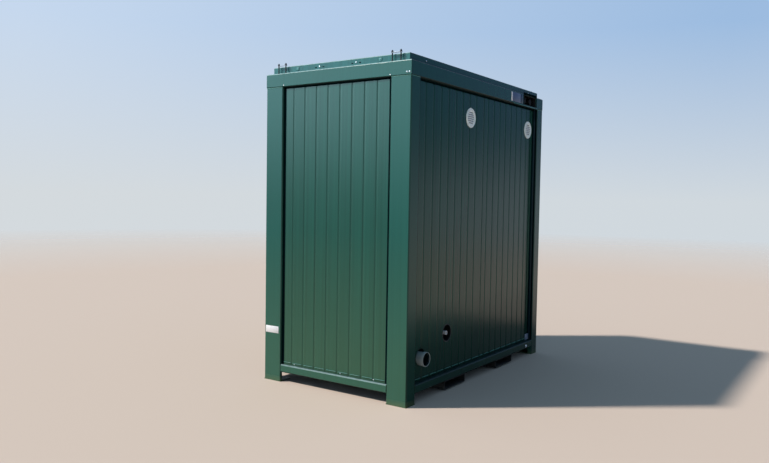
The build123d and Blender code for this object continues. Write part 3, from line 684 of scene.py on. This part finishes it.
# %% Gaskets and drip lips
# The strips' widths also cover the shadow bands beside the posts and under the beam, so they are partly
# painted shade.
SIDE_GASKET = 18 * MM
END_GASKET = 22 * MM
TOP_GASKET = 13 * MM
GASKET_PROUD = 2 * MM
# The return's lining is painted shade: a dark strip next to the sheet and black rubber farther out.
LINING = 3 * MM
LINING_PAINT = 20 * MM
LINING_RUBBER = 18 * MM
gasket_height = seam_level - rail_top
gasket_middle = (seam_level + rail_top) / 2
long_places = [place_at((0, y_wall, 0), outward) for y_wall, outward in long_walls]
end_places = [place_at((x_wall, 0, 0), outward) for x_wall, outward in end_walls]
gaskets_and_shade_strips = bmesh.new()
return_shade_strips = bmesh.new()
panels = ((long_places, -post_inner_x, SIDE_GASKET), (end_places, -post_inner_y, END_GASKET))
for places, half, gasket in panels:
    for wall in places:
        for side in (-1, 1):
            upright = (side * (half - gasket / 2), gasket_middle, 0)
            block(gaskets_and_shade_strips, wall, upright, (gasket, gasket_height, 2 * GASKET_PROUD), 0.8)
        top = (0, seam_level - TOP_GASKET / 2, 0)
        block(gaskets_and_shade_strips, wall, top, (2 * half, TOP_GASKET, 2 * GASKET_PROUD), 0.8)
for wall in long_places:
    for side in (-1, 1):
        x = side * (-post_inner_x - LINING / 2)
        outer = (x, gasket_middle, LINING_PAINT + LINING_RUBBER / 2)
        block(gaskets_and_shade_strips, wall, outer, (LINING, gasket_height, LINING_RUBBER), 0.8)
        inner = (x, gasket_middle, LINING_PAINT / 2)
        block(return_shade_strips, wall, inner, (LINING, gasket_height, LINING_PAINT), 0.8)
finish_piece(gaskets_and_shade_strips, "gaskets_and_shade_strips", rubber)
return_shade_paint = moulded("return_painted_shade", "#16323c", "#10262e", 0.3, 80, 0.05)
finish_piece(return_shade_strips, "return_shade_strips", return_shade_paint)


def flats_between(low, high, grooves):
    """The middles and lengths of the flat stretches that the grooves leave between low and high."""
    inside = [groove for groove in grooves if low + GROOVE_MOUTH < groove < high - GROOVE_MOUTH]
    starts = [low] + [groove + GROOVE_MOUTH / 2 for groove in inside]
    ends = [groove - GROOVE_MOUTH / 2 for groove in inside] + [high]
    return [((start + end) / 2, end - start) for start, end in zip(starts, ends)]


LIP_RISE = 22 * MM
LIP_PROUD = 6 * MM
LIP_HEIGHT = 3 * MM
lip_level = rail_top + LIP_RISE
drip_lips = bmesh.new()
door_low, door_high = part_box("door_wall_middle")
long_stretches = {
    OUT_SIDE.y: [(post_inner_x + SIDE_GASKET, -post_inner_x - SIDE_GASKET)],
    OUT_DOORS.y: [
        (post_inner_x + SIDE_GASKET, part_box("door_wall_left")[1].x),
        (door_low.x, door_high.x),
        (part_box("door_wall_right")[0].x, -post_inner_x - SIDE_GASKET),
    ],
}
for side, stretches in long_stretches.items():
    for low, high in stretches:
        for middle, length in flats_between(low, high, side_grooves):
            lip = place_at((middle, -side * side_wall_face, lip_level), (0, side, 0))
            block(drip_lips, lip, (0, 0, 0), (length - 2 * MM, LIP_HEIGHT, 2 * LIP_PROUD), 1)
for x_wall, outward in end_walls:
    for middle, length in flats_between(post_inner_y + END_GASKET, -post_inner_y - END_GASKET, end_grooves):
        lip = place_at((x_wall, middle, lip_level), outward)
        block(drip_lips, lip, (0, 0, 0), (length - 2 * MM, LIP_HEIGHT, 2 * LIP_PROUD), 1)
finish_piece(drip_lips, "cladding_drip_lips", highlighted_sealant_paint)

LIP_RIVET_YS = (0.39, -0.08, -0.395)
LIP_RIVET_DROP = 8 * MM
lip_rivets = bmesh.new()
for x_wall, outward in end_walls:
    for y in LIP_RIVET_YS:
        rivet(lip_rivets, place_at((x_wall, y, lip_level - LIP_RIVET_DROP), outward), 5.0)
finish_piece(lip_rivets, "lip_rivets", bright_zinc)

# %% [markdown]
# The raised rim is bolted to the roof frame through its upright leg. At the short ends there are two
# bright bolts with a dark rubber-backed slot on each side and two painted clips farther out, and each
# long side has one bolt near each end.

# %% Rim bolts, slots and clips
RIM_BOLT_RISE = 29 * MM
RIM_SLOT_RISE = 24 * MM
END_BOLT_Y, CLIP_Y, SIDE_BOLT_X = 0.177, 0.40, 0.94
SLOT_YS = (-0.214, -0.140, 0.140, 0.214)
rim_bolts = bmesh.new()
rim_slots = bmesh.new()
rim_clips = bmesh.new()
for x, outward in ((rim_end_face, OUT_END), (-rim_end_face, OUT_FAR_END)):
    for side in (-1, 1):
        bolt = place_at((x, side * END_BOLT_Y, frame_top + RIM_BOLT_RISE), outward)
        hex_bolt(rim_bolts, bolt, 0.58)
        clip = place_at((x, side * CLIP_Y, frame_top + RIM_BOLT_RISE), outward)
        block(rim_clips, clip, mm(0, 0, 1.5), mm(26, 24, 3), 1.0)
        rivet(rim_clips, clip @ Matrix.Translation(mm(0, 0, 3)), 4)
    for y in SLOT_YS:
        slot = place_at((x, y, frame_top + RIM_SLOT_RISE), outward)
        block(rim_slots, slot, mm(0, 0, 0.6), mm(16, 7, 1.6), 0.5)
for y, outward in ((rim_side_face, OUT_SIDE), (-rim_side_face, OUT_DOORS)):
    for side in (-1, 1):
        bolt = place_at((side * SIDE_BOLT_X, y, frame_top + RIM_BOLT_RISE), outward)
        hex_bolt(rim_bolts, bolt, 0.5)
finish_piece(rim_bolts, "rim_bolts", bright_zinc)
finish_piece(rim_slots, "rim_slots", rubber)
clip_paint = painted_steel("pale_blue_green_clip_paint", "#4c8584", "#5f9c9e", 0.4, 0.4, 0.05)
finish_piece(rim_clips, "rim_clips", clip_paint)

# %% [markdown]
# The lifting studs are threaded rods with a nut at the foot and a domed nut near the top, and a thin pale
# strap lies under the top nuts of each pair. The CAD model has them as plain hexagon bars. The thread is a
# zigzag profile that is spun, with twice the 1.5 mm pitch of a real 10 mm rod so that it shows.

# %% Lifting studs
STUD_X = 1.175
STUD_YS = (0.515, 0.590)
ROD_RADIUS = 5.0
THREAD_DEPTH = 0.7
THREAD_PITCH = 3.0
stud_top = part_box("lifting_studs")[1].z
rod_length = (stud_top - frame_top) / MM
thread = [(0, 0), (ROD_RADIUS, 0)]
turns = int((rod_length - 3) / THREAD_PITCH)
for turn_number in range(turns):
    thread.append((ROD_RADIUS - THREAD_DEPTH, (turn_number + 0.5) * THREAD_PITCH))
    thread.append((ROD_RADIUS, (turn_number + 1) * THREAD_PITCH))
thread += [(ROD_RADIUS - 1.5, rod_length), (0, rod_length)]
stud_rods = bmesh.new()
stud_nuts = bmesh.new()
stud_straps = bmesh.new()
STRAP_LEVEL = 64.5 * MM
for x_side in (-1, 1):
    for y_side in (-1, 1):
        for y in STUD_YS:
            foot = place_at((x_side * STUD_X, y_side * y, frame_top), UP)
            turned(stud_rods, foot, thread, 14)
            hexagon(stud_nuts, foot, 16, 0, 8, 0.8)
            hexagon(stud_nuts, foot, 16, 66, 74, 0.8)
            turned(stud_nuts, foot, [(5.6, 74), (7.4, 74), (7.2, 77), (5.6, 79), (5.6, 74)], 16)
        strap = place_at((x_side * STUD_X, y_side * sum(STUD_YS) / 2, frame_top + STRAP_LEVEL), UP)
        block(stud_straps, strap, (0, 0, 0), mm(14, 93, 3), 0.8)
strap_zinc = bare_metal("weathered_zinc_strap", "#a9adb4", "#8f949c", 0.46, 6, 0.05)
rods = finish_piece(stud_rods, "stud_rods", dull_steel)
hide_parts("lifting_studs")
finish_piece(stud_nuts, "stud_nuts", dull_steel)
finish_piece(stud_straps, "stud_straps", strap_zinc)

# %% [markdown]
# The two extract vents are white plastic flanges with a slotted plate. Behind each slot lies a rain blade
# that slopes up and inwards, so what shows through the slots is soiled plastic and not the dark room. A
# raised bead runs round the mouth and four screws hold the flange.

# %% Vent blades, beads and screws
VENT_RADIUS = 81 * MM
PLATE_BACK = 2 * MM
SLOT_PITCH = 17 * MM
SLOT_HEIGHT = 9 * MM
SLOT_RADIUS = 53 * MM
SCREW_CIRCLE = 71.5 * MM
BLADE_LENGTH = 13 * MM
BLADE_SLOPE = math.radians(-50)
vent_low, vent_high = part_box("extract_vents")
vent_level = middle_of("extract_vents").z
vent_blades = bmesh.new()
vent_beads = bmesh.new()
vent_screws = bmesh.new()
for x in (vent_low.x + VENT_RADIUS, vent_high.x - VENT_RADIUS):
    vent = place_at((x, vent_low.y, vent_level), OUT_SIDE)
    for slot_number in range(6):
        slot_bottom = (slot_number - 2.5) * SLOT_PITCH - SLOT_HEIGHT / 2
        half_width = math.sqrt(SLOT_RADIUS**2 - max(abs(slot_bottom), abs(slot_bottom + SLOT_HEIGHT)) ** 2)
        blade = vent @ Matrix.Translation((0, slot_bottom, -PLATE_BACK))
        blade @= Matrix.Rotation(BLADE_SLOPE, 4, "X")
        size = (2 * half_width, BLADE_LENGTH, 1.2 * MM)
        block(vent_blades, blade, (0, BLADE_LENGTH / 2, 0), size, 0.3)
    turned(vent_beads, vent, [(60.5, -1), (61, 1.6), (64, 3), (67, 1.6), (67.5, -1), (60.5, -1)], 64)
    turned(vent_beads, vent, [(76.8, -1), (77.2, 0.8), (78.3, 1.1), (79.2, 0.6), (79.2, -1), (76.8, -1)], 64)
    for quarter in range(4):
        bearing = Matrix.Rotation(math.radians(45 + 90 * quarter), 4, "Z")
        offset = bearing @ Vector((SCREW_CIRCLE, 0, 0))
        pan_screw(vent_screws, vent @ Matrix.Translation(offset), 3.4)
finish_piece(vent_blades, "vent_blades", louvre_plastic)
finish_piece(vent_beads, "vent_beads", vent_plastic)
finish_piece(vent_screws, "vent_screws", bright_zinc)

# %% [markdown]
# The water inlet is a white nylon nipple in a black cup. Its hexagon is a bevelled prism, and its threaded
# spout with the bore is one spun profile that starts and ends on the axis, so the piece is closed. A
# plain round coupling with an open bore sits in front of the thread. The cup has a thin lip that lies on
# the cladding.

# %% Water nipple and cup lip
fitting = middle_of("water_fitting")
fitting_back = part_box("water_fitting")[1].y
nipple_place = place_at((fitting.x, fitting_back, fitting.z), OUT_SIDE)
nipple_place @= Matrix.Rotation(math.pi / 2, 4, "Z")
spout = [(0, 18), (9, 18), (9, 28.2), (9.8, 29), (12.2, 29)]
for ridge in range(4):
    spout += [(13.2, 28 - 2.4 * ridge), (12.1, 26.8 - 2.4 * ridge)]
spout += [(12.1, 16), (0, 16)]
water_nipple = bmesh.new()
hexagon(water_nipple, nipple_place, 32, 0, 17, 1.4)
turned(water_nipple, nipple_place, spout, 32)
nipple = finish_piece(water_nipple, "water_nipple", white_nylon)
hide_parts("water_fitting")
coupling_wall = [(10, 29), (16.5, 29), (16.5, 45), (15.5, 46), (11, 46), (10, 45), (10, 29)]
coupling = bmesh.new()
turned(coupling, nipple_place, coupling_wall, 36)
finish_piece(coupling, "water_coupling", white_nylon)

cup_lip = bmesh.new()
cup_place = place_at((fitting.x, side_wall_face, fitting.z), OUT_SIDE)
lip_section = [(65.5, -1), (65.5, 0.8), (67, 1.6), (70.5, 1.2), (71.5, 0), (71, -1), (65.5, -1)]
turned(cup_lip, cup_place, lip_section, 64)
lip_plastic = moulded("worn_black_lip_plastic", "#23282a", "#3a3f40", 0.4, 30, 0.03)
finish_piece(cup_lip, "cup_lip", lip_plastic)

# %% [markdown]
# The drain is a grey pipe with a push-fit collar. Its wall is one closed profile that is spun: outside of
# the pipe, two ribs of the collar, the rounded lip and the bore. A rubber ring sits inside the mouth. The
# bore behind it is lined with black rubber, and a black sleeve set back in the wall closes the gap between
# the pipe and the larger hole. Both are painted shade, dark sheets where the bore and the gap are dark. The
# sleeve's two edges are circles with different middles, so they are joined with a bridge.

# %% Drain pipe, seal and sleeve
pipe = middle_of("drain_stub")
drain_place = place_at((pipe.x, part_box("drain_stub")[1].y, pipe.z), OUT_SIDE)
drain_profile = [(48, 0), (51, 0), (51, 91), (53.8, 92), (55, 93.5), (55, 98), (53.6, 99.5), (53.6, 106)]
drain_profile += [(55, 107.5), (55, 113), (54.2, 115.2), (52.9, 116), (51.6, 115.4), (50.9, 114)]
drain_profile += [(50.9, 104), (48, 101), (48, 0)]
drain_pipe = bmesh.new()
turned(drain_pipe, drain_place, drain_profile, 56)
drain = finish_piece(drain_pipe, "drain_pipe", drain_plastic, 30)
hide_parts("drain_stub")
seal_ring = [(51, 112), (51, 105), (48.2, 104), (46.7, 107), (48.6, 109.5), (51, 112)]
# The bore's black lining is painted shade.
bore_lining = [(47.9, 2), (47.9, 103), (46.9, 103), (46.9, 2), (47.9, 2)]
drain_seal = bmesh.new()
for section in (seal_ring, bore_lining):
    turned(drain_seal, drain_place, section, 56)
finish_piece(drain_seal, "drain_seal", rubber)

PIPE_RADIUS = 51 * MM
HOLE_RADIUS = 62.8 * MM
SLEEVE_RADIUS = 50.6 * MM
# The sleeve is painted shade, set back so that the gap reads dark.
SLEEVE_BACK = 26 * MM
hole_z = pipe.z + HOLE_RADIUS - PIPE_RADIUS
sleeve_y = side_wall_face + SLEEVE_BACK
drain_sleeve = bmesh.new()
rings = []
for radius, z in ((HOLE_RADIUS, hole_z), (SLEEVE_RADIUS, pipe.z)):
    spot = place_at((pipe.x, sleeve_y, z), OUT_SIDE)
    ring = bmesh.ops.create_circle(drain_sleeve, cap_ends=False, segments=48, radius=radius, matrix=spot)
    rings += list({edge for vert in ring["verts"] for edge in vert.link_edges})
bridged = bmesh.ops.bridge_loops(drain_sleeve, edges=rings)
bmesh.ops.solidify(drain_sleeve, geom=bridged["faces"], thickness=1.5 * MM)
finish_piece(drain_sleeve, "drain_sleeve", rubber)

# %% [markdown]
# Low on the service side there are two small things near the far post: a blue-grey plastic cover on the
# cladding, and the earth bolt on the rail, bright zinc on a square washer.

# %% Wall cover and earth bolt
COVER_X, COVER_Z = 1.0385, 0.1765
wall_cover = bmesh.new()
cover_place = place_at((COVER_X, side_wall_face, COVER_Z), OUT_SIDE)
block(wall_cover, cover_place, mm(0, 0, 3), mm(73, 59, 8), 2.6)
block(wall_cover, cover_place, mm(0, 0, 7.5), mm(60, 46, 3), 1.2)
finish_piece(wall_cover, "wall_cover", cover_plastic)

washer = middle_of("earth_bolt")
earth_place = place_at((washer.x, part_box("earth_bolt")[1].y, washer.z), OUT_SIDE)
earth_bolt = bmesh.new()
block(earth_bolt, earth_place, mm(0, 0, 1.5), mm(28, 28, 3), 0.7)
hexagon(earth_bolt, earth_place, 19, 3, 9.6, 1)
turned(earth_bolt, earth_place, [(0, 9.4), (8, 9.4), (7.2, 10.2), (3.5, 10.8), (0, 11), (0, 9.4)], 20)
earth = finish_piece(earth_bolt, "earth_stud", bright_zinc)
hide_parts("earth_bolt")

# %% [markdown]
# A white film label sits on the far post of the short end, and a film plate with a white end strip and a
# dark border sits beside the power recess. All of them are plain films. Below the plate the beam's lower
# edge has a paler lip, where the sheet is folded under. Its pale tone is a painted highlight of the light
# that catches that edge from below.

# %% Plain labels, plates and the beam's lip
LABEL_Y, LABEL_Z = 0.6165, 0.423
post_label = bmesh.new()
label_place = place_at((end_face, LABEL_Y, LABEL_Z), OUT_END)
block(post_label, label_place, mm(0, 0, 0.3), mm(140, 56, 0.8), 0.3)
finish_piece(post_label, "post_label", label_film)

recess_low, recess_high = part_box("power_recess")
PLATE_LEVEL = 2.449
PLATE_HEIGHT = 82 * MM
film_pieces = (
    ("film_strip", 0.474, 0.500, 1.4 * MM, label_film),
    ("film_plate", 0.502, 0.674, 1.0 * MM, blue_film),
    ("film_border", 0.675, 0.731, 1.0 * MM, navy_film),
)
for name, x_from, x_to, thickness, finish in film_pieces:
    film = bmesh.new()
    film_place = place_at(((x_from + x_to) / 2, side_face, PLATE_LEVEL), OUT_SIDE)
    block(film, film_place, mm(0, 0, 0.3), (x_to - x_from, PLATE_HEIGHT, thickness), 0.35)
    finish_piece(film, name, finish)

# The lip's pale colour is a painted highlight.
beam_lip_highlight_paint = painted_steel("beam_lip_paint_with_painted_highlight", "#3a7a7c", "#3f8080", 0.45, 0.6, 0.1)
BEAM_LIP_X, BEAM_LIP_LENGTH = 0.804, 0.556
beam_lip = bmesh.new()
lip_place = place_at((BEAM_LIP_X, side_face, seam_level + 3.5 * MM), OUT_SIDE)
block(beam_lip, lip_place, (0, 0, 0), (BEAM_LIP_LENGTH, 8 * MM, 3 * MM), 1.2)
finish_piece(beam_lip, "beam_lip", beam_lip_highlight_paint)

# %% [markdown]
# The two power inlets end in round lids. Each lid is a spun dome on a collar, with a small hinge block
# at its top and a finger tab at its foot. A flat black rubber trim frames the recess. Its top part stands
# 14 mm above the beam and is painted shade, the dark round the top of the recess.

# %% Inlet lids
inlet_low, inlet_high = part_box("power_inlets")
inlet_lids = bmesh.new()
inlet_level = middle_of("power_inlets").z
INLET_BASE = 70 * MM
lid_dome = [(0, -4), (31, -4), (31.5, 1), (30, 3), (25, 4.5), (12, 5.6), (0, 6), (0, -4)]
for x in (inlet_low.x + INLET_BASE / 2, inlet_high.x - INLET_BASE / 2):
    lid = place_at((x, inlet_low.y, inlet_level), OUT_SIDE)
    turned(inlet_lids, lid, lid_dome, 36)
    block(inlet_lids, lid, mm(0, 31, -2), mm(22, 7, 9), 1.5)
    block(inlet_lids, lid, mm(0, -31, 1), mm(14, 8, 5), 1.5)
lid_plastic = moulded("near_black_lid_plastic", "#0a0e12", "#141a20", 0.6, 20, 0.03, 0.35, 0.2)
finish_piece(inlet_lids, "inlet_lids", lid_plastic)

# %% Trim round the power recess
TRIM_FACE = 16 * MM
TRIM_OVERLAP = 4 * MM
TRIM_FOOT = 15 * MM
TRIM_FOOT_FACE = 4 * MM
# The trim's top stands above the beam as painted shade.
TRIM_RISE = 14 * MM
trim_low = Vector((recess_low.x - TRIM_FACE + TRIM_OVERLAP, 0, seam_level + TRIM_FOOT))
trim_high = Vector((recess_high.x + TRIM_FACE, 0, frame_top + TRIM_RISE))
trim_size = trim_high - trim_low
trim_middle = (trim_low + trim_high) / 2
trim_place = place_at((trim_middle.x, side_face, trim_middle.z), OUT_SIDE)
power_trim = bmesh.new()
for side in (-1, 1):
    upright = (side * (trim_size.x - TRIM_FACE) / 2, 0, 0.4 * MM)
    block(power_trim, trim_place, upright, (TRIM_FACE, trim_size.z, 2 * MM), 0.6)
for low, high in ((trim_low.z, trim_low.z + TRIM_FOOT_FACE), (recess_high.z, trim_high.z)):
    level = (0, (low + high) / 2 - trim_middle.z, 0.4 * MM)
    block(power_trim, trim_place, level, (trim_size.x - 2 * TRIM_FACE, high - low, 2 * MM), 0.6)
finish_piece(power_trim, "power_recess_trim", rubber)

# %% [markdown]
# The doors are on the side that the photograph doesn't show. They get what such doors have: a black seal
# in the gap round the leaf, an aluminium threshold strip, a rain rail over the frame, hinges with turned
# barrels, and lever handles on long plates with a lock cylinder below.

# %% Door seals, thresholds and rain rails
GAP = 3 * MM
door_seals = bmesh.new()
thresholds = bmesh.new()
rain_rails = bmesh.new()
for end in ("left", "right"):
    leaf_low, leaf_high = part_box(f"door_leaf_{end}")
    frame_low, frame_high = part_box(f"door_frame_{end}")
    leaf = middle_of(f"door_leaf_{end}")
    width = leaf_high.x - leaf_low.x
    tall = leaf_high.z - leaf_low.z
    door = place_at((leaf.x, door_face, leaf.z), OUT_DOORS)
    for side in (-1, 1):
        upright = (side * (width + GAP) / 2, 0, -4 * MM)
        block(door_seals, door, upright, (GAP, tall + 2 * GAP, 4 * MM), 0.8)
        level = (0, side * (tall + GAP) / 2, -4 * MM)
        block(door_seals, door, level, (width, GAP, 4 * MM), 0.8)
    sill = place_at((leaf.x, door_face, leaf_low.z - 4 * MM), OUT_DOORS)
    sill @= Matrix.Rotation(math.radians(6), 4, "X")
    block(thresholds, sill, mm(0, 0, 12), (width + 2 * GAP, 3 * MM, 26 * MM), 1)
    block(thresholds, sill, mm(0, -8, 24), (width + 2 * GAP, 16 * MM, 2.5 * MM), 0.8)
    head = place_at((leaf.x, door_face, frame_high.z + 9 * MM), OUT_DOORS)
    head @= Matrix.Rotation(math.radians(12), 4, "X")
    rail = frame_high.x - frame_low.x
    block(rain_rails, head, mm(0, 0, 8), (rail, 2.5 * MM, 24 * MM), 0.9)
    block(rain_rails, head, mm(0, -4, 19), (rail, 9 * MM, 2.5 * MM), 0.9)
    block(rain_rails, head, mm(0, 8, -4), (rail, 18 * MM, 2.5 * MM), 0.9)
finish_piece(door_seals, "door_seals", rubber)
finish_piece(thresholds, "door_thresholds", mill_aluminium)
finish_piece(rain_rails, "door_rain_rails", frame_paint)

# %% Door hinges
HINGE_LENGTH = 90
hinge_low, hinge_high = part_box("door_hinges")
door_hinges = bmesh.new()
knuckles = [(0, 0), (6.5, 0), (8, 1.5)]
for joint in (30, 60):
    knuckles += [(8, joint - 0.8), (7, joint), (8, joint + 0.8)]
knuckles += [(8, HINGE_LENGTH - 1.5), (6.5, HINGE_LENGTH), (0, HINGE_LENGTH)]
hinge_feet = (hinge_low.z, hinge_high.z - HINGE_LENGTH * MM)
for end in ("left", "right"):
    hinge_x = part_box(f"door_leaf_{end}")[0].x - GAP / 2
    for foot_z in hinge_feet:
        barrel = place_at((hinge_x, door_face + 8 * MM, foot_z), UP)
        turned(door_hinges, barrel, knuckles, 24)
        plate = place_at((hinge_x, door_face, foot_z + HINGE_LENGTH * MM / 2), OUT_DOORS)
        block(door_hinges, plate, mm(0, 0, 1.5), (60 * MM, HINGE_LENGTH * MM, 3 * MM), 0.8)
        for x in (-21, 21):
            for z in (-32, 0, 32):
                spot = plate @ Matrix.Translation((x * MM, z * MM, 3 * MM))
                pan_screw(door_hinges, spot, 3.6)
hinges = finish_piece(door_hinges, "door_hinge_set", satin_steel)
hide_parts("door_hinges")

# %% [markdown]
# A lever handle is a rounded bar on a neck that comes out of a long plate. The neck is spun, and the bar
# is a block whose edges are bevelled by nearly half its thickness, which makes them round. Its end is bent
# back towards the leaf, as levers on outside doors are.

# %% Door handles and locks
HANDLE_SETBACK = 55 * MM
PLATE_SIZE = mm(38, 170, 5)
LEVER_LENGTH = 125 * MM
REACH = 38 * MM
plate_level = middle_of("door_handles").z
door_handles = bmesh.new()
lock_cylinders = bmesh.new()
key_slots = bmesh.new()
for end in ("left", "right"):
    leaf_low, leaf_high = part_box(f"door_leaf_{end}")
    handle_x = leaf_high.x - HANDLE_SETBACK
    for face_y, outward in ((leaf_high.y, OUT_DOORS), (leaf_low.y, OUT_SIDE)):
        plate = place_at((handle_x, face_y, plate_level), outward)
        towards_hinge = -1 if plate.col[0].x > 0 else 1
        block(door_handles, plate, mm(0, 0, 2.5), PLATE_SIZE, 1.6)
        neck = plate @ Matrix.Translation(mm(0, 34, 0))
        turned(door_handles, neck, [(0, 4), (12, 4), (12, 7), (9, 9), (8, 12), (8, 36), (0, 36)], 24)
        bar = (towards_hinge * (LEVER_LENGTH / 2 - 10 * MM), 0, REACH)
        block(door_handles, neck, bar, (LEVER_LENGTH, 20 * MM, 9 * MM), 3.8)
        tip = (towards_hinge * (LEVER_LENGTH - 14 * MM), 0, REACH - 9 * MM)
        block(door_handles, neck, tip, mm(9, 18, 22), 3.5)
        for z in (-76, 76):
            pan_screw(door_handles, plate @ Matrix.Translation((0, z * MM, 5 * MM)), 3.4)
        lock = plate @ Matrix.Translation(mm(0, -38, 0))
        turned(lock_cylinders, lock, [(0, 4), (8.6, 4), (8.6, 8.2), (7.8, 9), (0, 9)], 28)
        block(lock_cylinders, lock, mm(0, -11, 5.5), mm(10, 12, 6), 1.5)
        block(key_slots, lock, mm(0, 0, 9), mm(1.8, 8, 0.8), 0.2)
handles = finish_piece(door_handles, "door_lever_handles", satin_steel)
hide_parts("door_handles")
finish_piece(lock_cylinders, "lock_cylinders", mill_aluminium)
finish_piece(key_slots, "key_slots", rubber)

# %% [markdown]
# The roof sheet is screwed through its ribs with self-drilling screws on rubber-backed washers, three to
# a rib. They repeat 36 times, so each has few faces.

# %% Roof screws
RIB_PITCH = 190 * MM
RIB_COUNT = 12
roof_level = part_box("roof_sheet")[1].z
roof_screws = bmesh.new()
roof_washers = bmesh.new()
for rib in range(RIB_COUNT):
    for y in (-0.55, 0.0, 0.55):
        spot = place_at(((rib - (RIB_COUNT - 1) / 2) * RIB_PITCH, y, roof_level), UP)
        turned(roof_washers, spot, [(0, 0), (8, 0), (8, 1.4), (0, 1.4)], 16)
        turned(roof_screws, spot, [(0, 1.4), (7.5, 1.4), (7, 2.4), (0, 2.4)], 16)
        hexagon(roof_screws, spot, 8, 2.4, 6.6, 0.5)
finish_piece(roof_screws, "roof_screws", bright_zinc)
finish_piece(roof_washers, "roof_washers", rubber)
